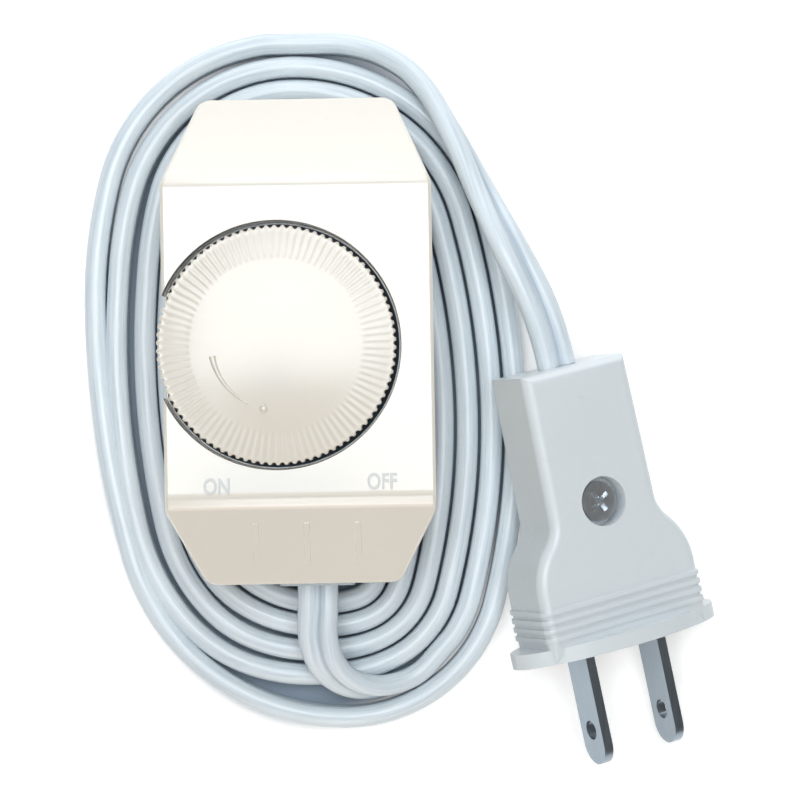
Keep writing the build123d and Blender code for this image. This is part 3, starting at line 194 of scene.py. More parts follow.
def makeFinish(
    name, light, dark, rough, group="mouldedGrain", sizes=None, metal=0.0, coat=0.0, bump=0.02, clear=0.0
):
    # light and dark are the ends of the surface's own colour spread, rough the ends of its roughness
    material = bpy.data.materials.new(name)
    material.use_nodes = True
    tree = material.node_tree
    shader = tree.nodes["Principled BSDF"]
    effect = tree.nodes.new("ShaderNodeGroup")
    effect.node_tree = bpy.data.node_groups[group]
    for label, value in (sizes or {}).items():
        effect.inputs[label].default_value = value
    tree.links.new(mixNode(tree, effect.outputs["Tone"], dark, light), shader.inputs["Base Color"])
    spread = mathNode(tree, "MULTIPLY_ADD", effect.outputs["Gloss"], rough[1] - rough[0], rough[0])
    tree.links.new(spread, shader.inputs["Roughness"])
    relief = tree.nodes.new("ShaderNodeBump")
    relief.inputs["Strength"].default_value = bump
    relief.inputs["Distance"].default_value = surface["relief"]
    tree.links.new(effect.outputs["Height"], relief.inputs["Height"])
    tree.links.new(relief.outputs["Normal"], shader.inputs["Normal"])
    shader.inputs["Metallic"].default_value = metal
    shader.inputs["Coat Weight"].default_value = coat
    shader.inputs["Coat Roughness"].default_value = surface["coatRough"]
    shader.inputs["Transmission Weight"].default_value = clear
    return material


sheetSizes = {"Along": 60.0, "Across": 2600.0, "Tarnish": 0.35}
headSizes = {"Along": 700.0, "Across": 900.0, "Tarnish": 0.3}


def metalFinish(name, light, dark, rough, sizes=sheetSizes, **others):
    return makeFinish(name, light, dark, rough, "drawnMetal", sizes, metal=1.0, **others)


finishes = {
    "case": makeFinish(
        "whiteCase", (0.735, 0.695, 0.63), (0.69, 0.645, 0.575), (0.16, 0.24),
        sizes={"Marks": 0.15}, coat=0.7, bump=0.012,
    ),
    # painted shade: the dial is of the same white plastic as the case, but its colour is a darker, slightly warmer
    # copy for the shade and warm reflection on its lower half
    "dial": makeFinish(
        "shadedWhiteDial", (0.66, 0.612, 0.542), (0.617, 0.566, 0.495), (0.15, 0.22),
        sizes={"Marks": 0.12}, coat=0.7, bump=0.01,
    ),
    # painted shade: the raised letters are of the case's white plastic, coloured grey for the shading that makes them
    # show
    "legend": makeFinish(
        "shadedLegend", (0.57, 0.58, 0.58), (0.53, 0.54, 0.54), (0.3, 0.4), coat=0.2, bump=0.01,
    ),
    "outlet": makeFinish("outletBlock", (0.76, 0.75, 0.72), (0.70, 0.69, 0.66), (0.3, 0.42)),
    "grommet": makeFinish("greyBush", (0.56, 0.62, 0.67), (0.46, 0.53, 0.58), (0.38, 0.5)),
    "cores": makeFinish("coreVinyl", (0.60, 0.66, 0.71), (0.52, 0.58, 0.64), (0.35, 0.45)),
    "plug": makeFinish(
        "greyPlug", (0.67, 0.71, 0.735), (0.60, 0.645, 0.67), (0.24, 0.36),
        sizes={"Marks": 0.4}, coat=0.1, bump=0.03,
    ),
    "blade": metalFinish("nickelBlade", (0.38, 0.44, 0.49), (0.25, 0.30, 0.35), (0.22, 0.42)),
    "screwHead": metalFinish(
        "brightScrew", (0.82, 0.85, 0.88), (0.60, 0.64, 0.68), (0.2, 0.45), headSizes, bump=0.55,
    ),
    "steel": metalFinish("zincSteel", (0.60, 0.60, 0.60), (0.34, 0.34, 0.34), (0.25, 0.45)),
    "brass": metalFinish("brassSheet", (0.78, 0.60, 0.30), (0.48, 0.33, 0.14), (0.25, 0.45)),
    "board": makeFinish(
        "paperBoard", (0.40, 0.26, 0.12), (0.28, 0.17, 0.07), (0.45, 0.6), sizes={"Fine": 1800.0, "Marks": 0.2},
    ),
    "sink": metalFinish("plainAluminium", (0.78, 0.79, 0.80), (0.55, 0.56, 0.57), (0.3, 0.5)),
    "dark_part": makeFinish(
        "blackMoulding", (0.035, 0.035, 0.04), (0.015, 0.015, 0.018), (0.4, 0.6), sizes={"Fine": 2400.0}, bump=0.08,
    ),
    "capacitor": makeFinish("dippedEpoxy", (0.42, 0.05, 0.03), (0.27, 0.025, 0.015), (0.15, 0.3), coat=0.3),
    "resistor": makeFinish("paintedCeramic", (0.60, 0.46, 0.26), (0.46, 0.34, 0.18), (0.35, 0.5)),
    "ferrite": makeFinish(
        "ferrite", (0.06, 0.055, 0.055), (0.03, 0.028, 0.028), (0.45, 0.65), sizes={"Fine": 3000.0}, bump=0.1,
    ),
    "copper": metalFinish("enamelledCopper", (0.70, 0.26, 0.09), (0.42, 0.13, 0.04), (0.2, 0.35), coat=0.4),
    "fuse_glass": makeFinish("fuseGlass", (0.82, 0.86, 0.86), (0.72, 0.77, 0.77), (0.03, 0.1), clear=0.85),
    "track": makeFinish("phenolicTrack", (0.22, 0.11, 0.05), (0.12, 0.06, 0.03), (0.4, 0.55)),
}
finishes["dial"].node_tree.nodes["Principled BSDF"].inputs["Coat Roughness"].default_value = surface["dialCoatRough"]

# dark streak lines along the cord and painted shade in its groove: how fine, how strong and of what colour
cordLook = {
    "along": 3.0, "around": 34.0, "gain": 4.0, "floor": -1.75, "narrow": 14.0, "lines": 0.3, "groove": 0.55,
    "most": 0.8, "lineAndGrooveShade": (0.27, 0.35, 0.44),
}


def cordFinish():
    material = makeFinish(
        "cordVinyl", (0.71, 0.775, 0.82), (0.63, 0.70, 0.75), (0.26, 0.38),
        sizes={"Broad": 120.0, "Fine": 1500.0, "Marks": 0.25}, coat=0.2, bump=0.02,
    )
    tree = material.node_tree
    shader = tree.nodes["Principled BSDF"]
    uvMap = tree.nodes.new("ShaderNodeUVMap")
    uvMap.uv_map = "UVMap"
    along, around = splitNode(tree, uvMap.outputs[0])[:2]
    lines = joinNode(tree, product(tree, along, cordLook["along"]), product(tree, around, cordLook["around"]))
    streak = noiseNode(tree, lines, 1.0, 3.0, 0.6)
    streak = mathNode(tree, "MULTIPLY_ADD", streak, cordLook["gain"], cordLook["floor"])
    streak = mathNode(tree, "MAXIMUM", streak, 0.0)
    groove = mathNode(tree, "COSINE", product(tree, around, 4 * pi))
    groove = mathNode(tree, "POWER", mathNode(tree, "MAXIMUM", groove, 0.0), cordLook["narrow"])
    shade = mathNode(tree, "MULTIPLY_ADD", streak, cordLook["lines"], product(tree, groove, cordLook["groove"]))
    shade = mathNode(tree, "MINIMUM", shade, cordLook["most"])
    # painted shade: the groove between the two lobes, and the streak lines, are mixed towards a dark bluish colour
    base = shader.inputs["Base Color"].links[0].from_socket
    tree.links.new(mixNode(tree, shade, base, cordLook["lineAndGrooveShade"]), shader.inputs["Base Color"])
    return material


# painted shade: the gap round the dial is coloured dark slate and made dull, in place of the shade that falls into the
# well
gapShade = {"tone": (0.08, 0.115, 0.15), "rougher": 0.6}


def shadeRing(finish):
    tree = finishes[finish].node_tree
    shader = tree.nodes["Principled BSDF"]
    effect = tree.nodes.new("ShaderNodeGroup")
    effect.node_tree = ringShade
    effect.inputs["Axis X"].default_value = dialAxis[0] * mm
    effect.inputs["Axis Y"].default_value = dialAxis[1] * mm
    shade = effect.outputs["Shade"]
    base = shader.inputs["Base Color"].links[0].from_socket
    tree.links.new(mixNode(tree, shade, base, gapShade["tone"]), shader.inputs["Base Color"])
    coat = shader.inputs["Coat Weight"].default_value
    tree.links.new(mathNode(tree, "MULTIPLY_ADD", shade, -coat, coat), shader.inputs["Coat Weight"])
    rough = shader.inputs["Roughness"].links[0].from_socket
    rougher = mathNode(tree, "MULTIPLY_ADD", shade, gapShade["rougher"], rough)
    tree.links.new(rougher, shader.inputs["Roughness"])


shadeRing("case")
finishes["cord"] = cordFinish()
slotOfNode = {entry["node"]: entry["material_slot"] for entry in frame["record"]["subparts"]}
for nodeName, node in frame["nodes"].items():
    for slot in node.material_slots:
        slot.material = finishes["screwHead" if nodeName == "plug_screw" else slotOfNode[nodeName]]


# ---- mesh helpers ----
def newPiece(name, mesh, finish, body, replaced=()):
    piece = bpy.data.objects.new(name, mesh)
    bpy.context.collection.objects.link(piece)
    mesh.materials.clear()
    mesh.materials.append(finishes[finish])
    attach(piece, body)
    if replaced:
        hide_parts(*replaced)
    return piece


def smoothed(mesh, angle):
    mesh.polygons.foreach_set("use_smooth", [True] * len(mesh.polygons))
    mesh.set_sharp_from_angle(angle=radians(angle))
    mesh.update()
    return mesh


def evaluated(piece):
    # the piece's mesh with its modifiers worked in
    graph = bpy.context.evaluated_depsgraph_get()
    return bpy.data.meshes.new_from_object(piece.evaluated_get(graph))


# moulded edges: their width in millimetres, the turn they start from and when faces count as one
mouldEdge = {"case": 0.35, "plug": 0.3, "segments": 3, "from": 32.0, "flatWithin": 0.6, "merge": 0.000002}


def softened(nodeName, finish, body):
    # a copy of a solid with its edges rounded as a moulding's are
    work = bmesh.new()
    work.from_mesh(frame["nodes"][nodeName].data)
    bmesh.ops.remove_doubles(work, verts=work.verts, dist=mouldEdge["merge"])
    flat = radians(mouldEdge["flatWithin"])
    bmesh.ops.dissolve_limit(work, angle_limit=flat, verts=work.verts, edges=work.edges)
    mesh = bpy.data.meshes.new(nodeName + "Soft")
    work.to_mesh(mesh)
    work.free()
    smoothed(mesh, 180)
    rough = bpy.data.objects.new(nodeName + "Rough", mesh)
    bpy.context.collection.objects.link(rough)
    bevel = rough.modifiers.new("edges", "BEVEL")
    bevel.width = mouldEdge[finish] * mm
    bevel.segments = mouldEdge["segments"]
    bevel.limit_method = "ANGLE"
    bevel.angle_limit = radians(mouldEdge["from"])
    bevel.use_clamp_overlap = True
    # the flat faces keep their own direction and only the rounded edges blend
    even = rough.modifiers.new("even", "WEIGHTED_NORMAL")
    even.weight = 100
    even.keep_sharp = True
    done = evaluated(rough)
    bpy.data.objects.remove(rough)
    return newPiece(nodeName + "Shell", done, finish, body, [nodeName])


def lathe(profile, steps, centre):
    # a turned shape from (radius, height) points; a radius of zero makes a pole
    work = bmesh.new()
    rings = []
    around = [2 * pi * k / steps for k in range(steps)]
    for radius, height in profile:
        if radius == 0:
            rings.append([work.verts.new((centre[0], centre[1], height))])
        else:
            spots = [(centre[0] + radius * cos(turn), centre[1] + radius * sin(turn), height) for turn in around]
            rings.append([work.verts.new(spot) for spot in spots])
    for one, two in zip(rings, rings[1:]):
        for k in range(steps):
            n = (k + 1) % steps
            if len(one) == 1:
                work.faces.new((one[0], two[k], two[n]))
            elif len(two) == 1:
                work.faces.new((one[k], two[0], one[n]))
            else:
                work.faces.new((one[k], two[k], two[n], one[n]))
    bmesh.ops.recalc_face_normals(work, faces=work.faces)
    return work


def ridge(points, widths, heights, up, sections=5):
    # a half-round bead along points, closed below and at both ends
    work = bmesh.new()
    rows = []
    for number, point in enumerate(points):
        before = points[max(number - 1, 0)]
        after = points[min(number + 1, len(points) - 1)]
        across = (after - before).normalized().cross(up).normalized()
        row = []
        for k in range(sections + 1):
            turn = pi * k / sections
            sideways = across * (cos(turn) * widths[number] / 2)
            row.append(work.verts.new(point + sideways + up * (sin(turn) * heights[number])))
        rows.append(row)
    for one, two in zip(rows, rows[1:]):
        for k in range(sections):
            work.faces.new((one[k], one[k + 1], two[k + 1], two[k]))
        work.faces.new((one[sections], one[0], two[0], two[sections]))
    work.faces.new(rows[0])
    work.faces.new(list(reversed(rows[-1])))
    bmesh.ops.recalc_face_normals(work, faces=work.faces)
    return work


def joined(name, parts):
    whole = bmesh.new()
    for part in parts:
        mesh = bpy.data.meshes.new("piece")
        part.to_mesh(mesh)
        part.free()
        whole.from_mesh(mesh)
        bpy.data.meshes.remove(mesh)
    mesh = bpy.data.meshes.new(name)
    whole.to_mesh(mesh)
    whole.free()
    return mesh


def eased(value):
    value = min(max(value, 0.0), 1.0)
    return value * value * (3 - 2 * value)


print("cord")
# sizes in millimetres, but the length in metres; the coil's places are the solid one's, save that the
# leftmost is lower and the bottom strands lie closer
cord = {
    "width": 6.2, "thick": 3.1, "web": 1.0, "centreZ": -18.1, "floorZ": -20.7, "length": 1.405,
    "pitch": 3.6, "rightPitch": 3.75, "topX": -1.0, "topOuter": 46.6,
    "leftY": 6.0, "leftOuter": -32.3, "leftExtra": 0.8,
    "bottomX": 6.0, "bottomOuter": -58.3, "bottomExtra": 0.25, "rightY": -12.0, "rightOuter": 32.8,
    "sideTurn": 15.0, "middleX": 1.0, "entryTurn": 33.0, "exitBendRadius": 10.0, "exitBend": 9.0, "joinStep": 3.5,
    "arcStep": 7.0, "longRun": 12.0, "runEnds": 4.0,
    "plugHold": 6.0, "plugTwist": 44.0, "exitHold": 3.0, "exitTwist": 26.0, "plugRoll": -25.0, "plump": 1.08,
    "crowding": 4.2, "crowdEnd": 0.78, "crowdKept": 0.2, "uvLength": 50.0, "lobeSteps": 12,
}
exitRoute = [
    (1.8, -37.1, -8.2), (1.8, -40.3, -8.2), (1.46, -45.25, -8.56), (2.82, -49.95, -10.86), (6.08, -52.96, -13.69),
    (10.3, -53.87, -16.04), (14.47, -52.91, -17.51),
]
plugRoute = [
    (38.9, -4.4, -6.45), (37.44, 3.03, -5.86), (31.55, 14.71, -5.28), (27.43, 23.63, -10.31),
    (24.43, 30.39, -11.46), (18.89, 40.72, -15.46), (13.04, 44.94, -17.33), (7.1, 46.6, -18.1), (2.1, 46.6, -18.1),
]


def station(side, place):
    inner = cord["pitch"] * place
    if side == "top":
        return cord["topX"], cord["topOuter"] - inner
    if side == "left":
        return cord["leftOuter"] + inner + (cord["leftExtra"] if place > 1 else 0), cord["leftY"]
    if side == "bottom":
        return cord["bottomX"], cord["bottomOuter"] + inner + (cord["bottomExtra"] if place > 0 else 0)
    return cord["rightOuter"] - cord["rightPitch"] * place, cord["rightY"]


def quarterRadii(start, stop):
    across = abs(stop[0] - start[0])
    along = abs(stop[1] - start[1])
    c = cos(radians(cord["sideTurn"]))
    s = sin(radians(cord["sideTurn"]))
    return (along * c - across * (1 - s)) / (c + s - 1), (across * s - along * (1 - c)) / (c + s - 1)


class Walk:
    # walks the coil and leaves a control point outside each stretch of an arc
    def __init__(self, start, heading):
        self.place = Vector(start)
        self.heading = heading
        self.points = []
        self.spans = []

    def ahead(self):
        return Vector((cos(self.heading), sin(self.heading)))

    def line(self, length):
        # a long straight keeps a point a little way in from each end
        ends = cord["runEnds"]
        if length > cord["longRun"]:
            self.points += [self.place + self.ahead() * ends, self.place + self.ahead() * (length - ends)]
        self.place = self.place + self.ahead() * length

    def arc(self, radius, turn):
        pieces = max(3, round(radius * radians(abs(turn)) / cord["arcStep"]))
        step = radians(turn) / pieces
        reach = radius * tan(abs(step) / 2)
        for number in range(pieces):
            self.place = self.place + self.ahead() * reach
            self.points.append(self.place.copy())
            self.heading += step
            self.place = self.place + self.ahead() * reach

    def quarters(self, stops, way, endFirst):
        # from each stop to the next by an arc along the side and one round the end
        side = cord["sideTurn"]
        for one, two in zip(stops, stops[1:]):
            sideRadius, endRadius = quarterRadii(one, two)
            before = len(self.points)
            if endFirst:
                self.arc(endRadius, way * (90 - side))
                self.arc(sideRadius, way * side)
            else:
                self.arc(sideRadius, way * side)
                self.arc(endRadius, way * (90 - side))
            self.spans.append((before, len(self.points)))
            endFirst = not endFirst


side = cord["sideTurn"]
inward = [
    station(*stop) for stop in (
        ("top", 0), ("left", 0), ("bottom", 0), ("right", 0), ("top", 1), ("left", 1), ("bottom", 2),
        ("right", 2), ("top", 3), ("left", 3), ("bottom", 4), ("right", 4), ("top", 5), ("left", 5),
    )
]
outward = [
    station(*stop) for stop in (
        ("right", 5), ("bottom", 5), ("left", 4), ("top", 4), ("right", 3), ("bottom", 3),
        ("left", 2), ("top", 2), ("right", 1),
    )
]
inward[0] = (cord["topX"] - cord["thick"] / 2, cord["topOuter"])
walk = Walk((cord["topX"] + cord["thick"], cord["topOuter"]), pi)
walk.line(1.5 * cord["thick"])
walk.points.append(walk.place.copy())
walk.quarters(inward[:6], 1, True)
walk.quarters(inward[5:], 1, False)
# through the middle: round below from the innermost left place, up, and over to the innermost right one
leftSide = quarterRadii(station("left", 4), station("bottom", 5))[0] - cord["pitch"]
rightSide = quarterRadii(station("right", 4), station("top", 5))[0] - cord["rightPitch"]
walk.arc(leftSide, side)
walk.arc((cord["middleX"] - walk.place.x) / (1 + cos(radians(side))), 180 - side)
rightTopX = outward[0][0] - rightSide * (1 - cos(radians(side)))
rightTopY = cord["rightY"] + rightSide * sin(radians(side))
highTurn = (rightTopX - cord["middleX"]) / (1 + cos(radians(side)))
walk.line(rightTopY - highTurn * sin(radians(side)) - walk.place.y)
walk.arc(highTurn, side - 180)
walk.arc(rightSide, -side)
walk.quarters(outward, -1, False)
lastSide, lastEnd = quarterRadii(outward[-1], station("bottom", 1))
walk.arc(lastSide, -side)
walk.arc(lastEnd, side - cord["entryTurn"])
walk.arc(cord["exitBendRadius"], -cord["exitBend"])
walk.line(cord["thick"])
coilEnd = walk.place
coilAhead = walk.ahead()

# at the lower left the inner strands lean on the outer one, then give way to the strand from the case:
# which stretch of the coil, which way along it and how much of the push
leaning = ((5, 1, 1.0), (18, -1, 0.94), (9, 1, 0.88), (14, -1, 0.82))
for span, way, part in leaning:
    first, last = walk.spans[span]
    crowd = walk.points[first:last]
    for number, point in enumerate(crowd):
        share = (number + 1) / len(crowd) if way > 0 else 1 - number / len(crowd)
        fade = min(1, (1 - share) / (1 - cord["crowdEnd"]))
        kept = cord["crowdKept"] + (1 - cord["crowdKept"]) * fade
        push = way * part * cord["crowding"] * share * kept
        ahead = (crowd[min(number + 1, len(crowd) - 1)] - crowd[max(number - 1, 0)]).normalized()
        walk.points[first + number] = point + Vector((ahead.y, -ahead.x)) * push
coilRoute = [(point.x, point.y, cord["centreZ"]) for point in walk.points]
joinEnd = coilEnd + coilAhead * cord["joinStep"]
joint = [(coilEnd.x, coilEnd.y, cord["centreZ"]), (joinEnd.x, joinEnd.y, cord["centreZ"])]
route = plugRoute + coilRoute + joint + list(reversed(exitRoute))

curve = bpy.data.curves.new("cordRoute", "CURVE")
curve.dimensions = "3D"
curve.resolution_u = 5
spline = curve.splines.new("NURBS")
spline.points.add(len(route) - 1)
for point, spot in zip(spline.points, route):
    point.co = (spot[0] * mm, spot[1] * mm, spot[2] * mm, 1)
spline.order_u = 3
spline.use_endpoint_u = True
spline.resolution_u = 5
routePiece = bpy.data.objects.new("cordRoute", curve)
bpy.context.collection.objects.link(routePiece)
routeMesh = evaluated(routePiece)
samePlace = 0.00002
path = []
for vertex in routeMesh.vertices:
    if not path or (vertex.co - path[-1]).length > samePlace:
        path.append(vertex.co.copy())
bpy.data.objects.remove(routePiece)

# outline of the twin section, wide way first: two lobes that meet in a groove on each side
lobe = cord["thick"] / 2
grooveHalf = asin(cord["web"] / lobe)
outline = []
for centre, first in ((lobe, grooveHalf - pi), (-lobe, grooveHalf)):
    for k in range(cord["lobeSteps"] + 1):
        turn = first + (2 * pi - 2 * grooveHalf) * k / cord["lobeSteps"]
        outline.append((centre + lobe * cos(turn), cord["plump"] * lobe * sin(turn)))

lengths = [0.0]
for one, two in zip(path, path[1:]):
    lengths.append(lengths[-1] + (two - one).length)
total = lengths[-1]

work = bmesh.new()
uv = work.loops.layers.uv.new("UVMap")
rows = []
for number, spot in enumerate(path):
    ahead = (path[min(number + 1, len(path) - 1)] - path[max(number - 1, 0)]).normalized()
    level = Vector((ahead.y, -ahead.x, 0)).normalized()
    upright = level.cross(ahead).normalized()
    fromPlug = eased((lengths[number] / mm - cord["plugHold"]) / cord["plugTwist"])
    fromCase = eased(((total - lengths[number]) / mm - cord["exitHold"]) / cord["exitTwist"])
    turn = radians(cord["plugRoll"] + (-90 - cord["plugRoll"]) * fromPlug - 90 * (1 - fromCase))
    wide = level * cos(turn) + upright * sin(turn)
    thin = ahead.cross(wide).normalized()
    row = []
    for x, y in outline:
        corner = spot + wide * (x * mm) + thin * (y * mm)
        corner.z = max(corner.z, cord["floorZ"] * mm)
        row.append(work.verts.new(corner))
    rows.append(row)
count = len(outline)
for number in range(len(rows) - 1):
    one, two = rows[number], rows[number + 1]
    for k in range(count):
        n = (k + 1) % count
        face = work.faces.new((one[k], one[n], two[n], two[k]))
        spots = ((number, k), (number, k + 1), (number + 1, k + 1), (number + 1, k))
        for loop, (i, j) in zip(face.loops, spots):
            loop[uv].uv = (lengths[i] / (cord["uvLength"] * mm), j / count)
work.faces.new(list(reversed(rows[0])))
work.faces.new(rows[-1])
bmesh.ops.recalc_face_normals(work, faces=work.faces)
mesh = bpy.data.meshes.new("cord")
work.to_mesh(mesh)
work.free()
cordNodes = ["cord_coil", "cord_exit_tail", "cord_plug_tail"]
cordPiece = newPiece("cord", smoothed(mesh, 60), "cord", "housing", cordNodes)
print("cord length", round(total, 4), "points", len(route), len(path))

print("case")
softened("upper_housing", "case", "housing")
softened("lower_housing", "case", "housing")

print("legend")
legend = {
    "letterHeight": 2.3, "capShare": 0.69, "narrow": 0.76, "proud": 0.1, "edge": 0.05,
    "on": (-14.3, -22.5), "off": (9.8, -22.1),
}


def raisedWord(word, spot):
    text = bpy.data.curves.new(word, "FONT")
    text.body = word
    text.size = legend["letterHeight"] / legend["capShare"]
    text.extrude = legend["proud"]
    text.bevel_depth = legend["edge"]
    text.resolution_u = 4
    piece = bpy.data.objects.new(word, text)
    bpy.context.collection.objects.link(piece)
    mesh = evaluated(piece)
    bpy.data.objects.remove(piece)
    shape = Matrix.Diagonal((legend["narrow"] * mm, mm, mm, 1))
    mesh.transform(Matrix.Translation((spot[0] * mm, spot[1] * mm, caseTop * mm)) @ shape)
    newPiece("legend" + word, smoothed(mesh, 40), "legend", "housing")


raisedWord("ON", legend["on"])
raisedWord("OFF", legend["off"])

print("dial")
dial = {
    "radius": 17.7, "rise": 1.4, "edge": 7.0, "wall": 1.6, "underIn": 0.55, "hub": 5.0, "hubLow": 8.7,
    "bore": 3.0, "boreTop": 12.3, "teeth": 90, "toothGroove": 0.35,
    "fluteFrom": 12.6, "fluteTo": 17.5, "fluteDepth": 0.04, "fluteStart": 0.9, "fluteEnd": 0.5,
    "pullFrom": 16.5, "pullEdge": 0.2, "markRadius": 9.5, "markFrom": 189.0, "markTo": 244.0, "markSteps": 24,
    "markWidth": 1.05, "markTaper": 0.8, "markHeight": 0.3, "markFall": 0.4, "markSunk": 0.03, "dot": 258.0,
}
domeRadii = [5, 9, 12.6, 12.9, 13.2, 13.6, 14.3, 15.1, 15.9, 16.5, 16.9, 17.2, 17.45]
dotShape = [(0, -0.1), (0.62, -0.05), (0.58, 0.16), (0.4, 0.28), (0, 0.32)]
rim = dial["radius"]
low = caseTop - dial["edge"]
# the rounded rim from the dome down: how far in, how much of the groove it follows and its height
rimRows = [
    (0.1, 1, caseTop - 0.03), (0.03, 1, caseTop - 0.14), (0, 1, caseTop - 0.4), (0, 1, low + 0.35),
    (0.15, 0.85, low + 0.08),
]


def domeZ(radius):
    return caseTop + dial["rise"] * (1 - (radius / rim) ** 2)


def fluteDip(radius, turn):
    # depth of the flutes on the dome: rounded at their inner end, open towards the rim
    begun = eased((radius - dial["fluteFrom"]) / dial["fluteStart"])
    left = eased((dial["fluteTo"] - radius) / dial["fluteEnd"])
    return dial["fluteDepth"] * begun * left * (0.5 + 0.5 * cos(dial["teeth"] * turn))


def rimCut(turn):
    # depth of the round groove between two teeth at a turn from its middle
    off = abs(turn) * rim
    return (dial["toothGroove"] ** 2 - off ** 2) ** 0.5 if off < dial["toothGroove"] else 0.0


def pulledIn(radius, turn):
    # the dome's outer rings follow the notches between the teeth
    start = dial["pullFrom"]
    inner = rim - dial["pullEdge"] - rimCut(turn)
    return radius if radius <= start else start + (radius - start) * (inner - start) / (domeRadii[-1] - start)


columns = 12
pitch = 2 * pi / dial["teeth"]
turns = [pitch * (k / columns - 0.5) for k in range(columns + 1)]
rows = [[(pulledIn(r, turn), domeZ(pulledIn(r, turn)) - fluteDip(r, turn)) for turn in turns] for r in domeRadii]
rows += [[(rim - back - part * rimCut(turn), height) for turn in turns] for back, part, height in rimRows]
roof = caseTop - dial["wall"]
under = [
    (rim - dial["underIn"], low), (rim - dial["wall"], low), (rim - dial["wall"], roof), (dial["hub"], roof),
    (dial["hub"], dial["hubLow"]), (dial["bore"], dial["hubLow"]), (dial["bore"], dial["boreTop"]),
]
rows += [[spot] * (columns + 1) for spot in under]
sector = bmesh.new()
grid = [
    [sector.verts.new((r * cos(turn) * mm, r * sin(turn) * mm, z * mm)) for (r, z), turn in zip(row, turns)]
    for row in rows
]
crown = sector.verts.new((0, 0, domeZ(0) * mm))
inside = sector.verts.new((0, 0, dial["boreTop"] * mm))
for k in range(columns):
    sector.faces.new((crown, grid[0][k], grid[0][k + 1]))
    sector.faces.new((inside, grid[-1][k + 1], grid[-1][k]))
    for one, two in zip(grid, grid[1:]):
        sector.faces.new((one[k], two[k], two[k + 1], one[k + 1]))
sectorMesh = bpy.data.meshes.new("dialSector")
sector.to_mesh(sectorMesh)
sector.free()
sectorPiece = bpy.data.objects.new("dialSector", sectorMesh)
bpy.context.collection.objects.link(sectorPiece)


def ringTree(name, finish):
    # repeats the piece around the upright axis and closes the seams
    tree = bpy.data.node_groups.new(name, "GeometryNodeTree")
    tree.interface.new_socket("Geometry", in_out="INPUT", socket_type="NodeSocketGeometry")
    number = tree.interface.new_socket("Count", in_out="INPUT", socket_type="NodeSocketInt")
    number.default_value = 12
    seam = tree.interface.new_socket("Seam", in_out="INPUT", socket_type="NodeSocketFloat")
    seam.default_value = 0.000004
    tree.interface.new_socket("Geometry", in_out="OUTPUT", socket_type="NodeSocketGeometry")
    inputs = tree.nodes.new("NodeGroupInput")
    outputs = tree.nodes.new("NodeGroupOutput")
    spots = tree.nodes.new("GeometryNodePoints")
    tree.links.new(inputs.outputs["Count"], spots.inputs["Count"])
    index = tree.nodes.new("GeometryNodeInputIndex").outputs[0]
    share = mathNode(tree, "DIVIDE", index, inputs.outputs["Count"])
    spin = tree.nodes.new("ShaderNodeCombineXYZ")
    tree.links.new(product(tree, share, 2 * pi), spin.inputs["Z"])
    copies = tree.nodes.new("GeometryNodeInstanceOnPoints")
    tree.links.new(spots.outputs[0], copies.inputs["Points"])
    tree.links.new(inputs.outputs["Geometry"], copies.inputs["Instance"])
    tree.links.new(spin.outputs[0], copies.inputs["Rotation"])
    real = tree.nodes.new("GeometryNodeRealizeInstances")
    tree.links.new(copies.outputs[0], real.inputs[0])
    merge = tree.nodes.new("GeometryNodeMergeByDistance")
    tree.links.new(real.outputs[0], merge.inputs["Geometry"])
    tree.links.new(inputs.outputs["Seam"], merge.inputs["Distance"])
    dressed = tree.nodes.new("GeometryNodeSetMaterial")
    dressed.inputs["Material"].default_value = finishes[finish]
    tree.links.new(merge.outputs[0], dressed.inputs[0])
    tree.links.new(dressed.outputs[0], outputs.inputs[0])
    return tree, number.identifier


tree, countInput = ringTree("toothedRing", "dial")
modifier = sectorPiece.modifiers.new("teeth", "NODES")
modifier.node_group = tree
modifier[countInput] = dial["teeth"]
wholeDial = evaluated(sectorPiece)
bpy.data.objects.remove(sectorPiece)
wholeDial.transform(Matrix.Translation((dialAxis[0] * mm, dialAxis[1] * mm, 0)))
ring = bmesh.new()
ring.from_mesh(wholeDial)


def aroundDial(radius, angle, height):
    x = dialAxis[0] + radius * cos(radians(angle))
    y = dialAxis[1] + radius * sin(radians(angle))
    return Vector((x * mm, y * mm, height * mm))


markZ = domeZ(dial["markRadius"])
sweep = dial["markTo"] - dial["markFrom"]
shares = [k / dial["markSteps"] for k in range(dial["markSteps"] + 1)]
angles = [dial["markFrom"] + sweep * share for share in shares]
points = [aroundDial(dial["markRadius"], angle, markZ - dial["markSunk"]) for angle in angles]
widths = [(dial["markWidth"] - dial["markTaper"] * share ** 0.8) * mm for share in shares]
heights = [dial["markHeight"] * (1 - dial["markFall"] * share) * mm for share in shares]
mark = ridge(points, widths, heights, Vector((0, 0, 1)))
dotSpot = aroundDial(dial["markRadius"], dial["dot"], 0)
dot = lathe([(r * mm, (markZ + z) * mm) for r, z in dotShape], 24, dotSpot.xy)
newPiece("dialCap", smoothed(joined("dialCap", [ring, mark, dot]), 40), "dial", "dial", ["dial"])

print("plug")
plugFront = softened("plug_front_shell", "plug", "housing")
plugBack = softened("plug_back_shell", "plug", "housing")

print("floor and light")
coolWhite = (0.95, 0.98, 1.0)
panelWhite = (0.92, 0.97, 1.0)
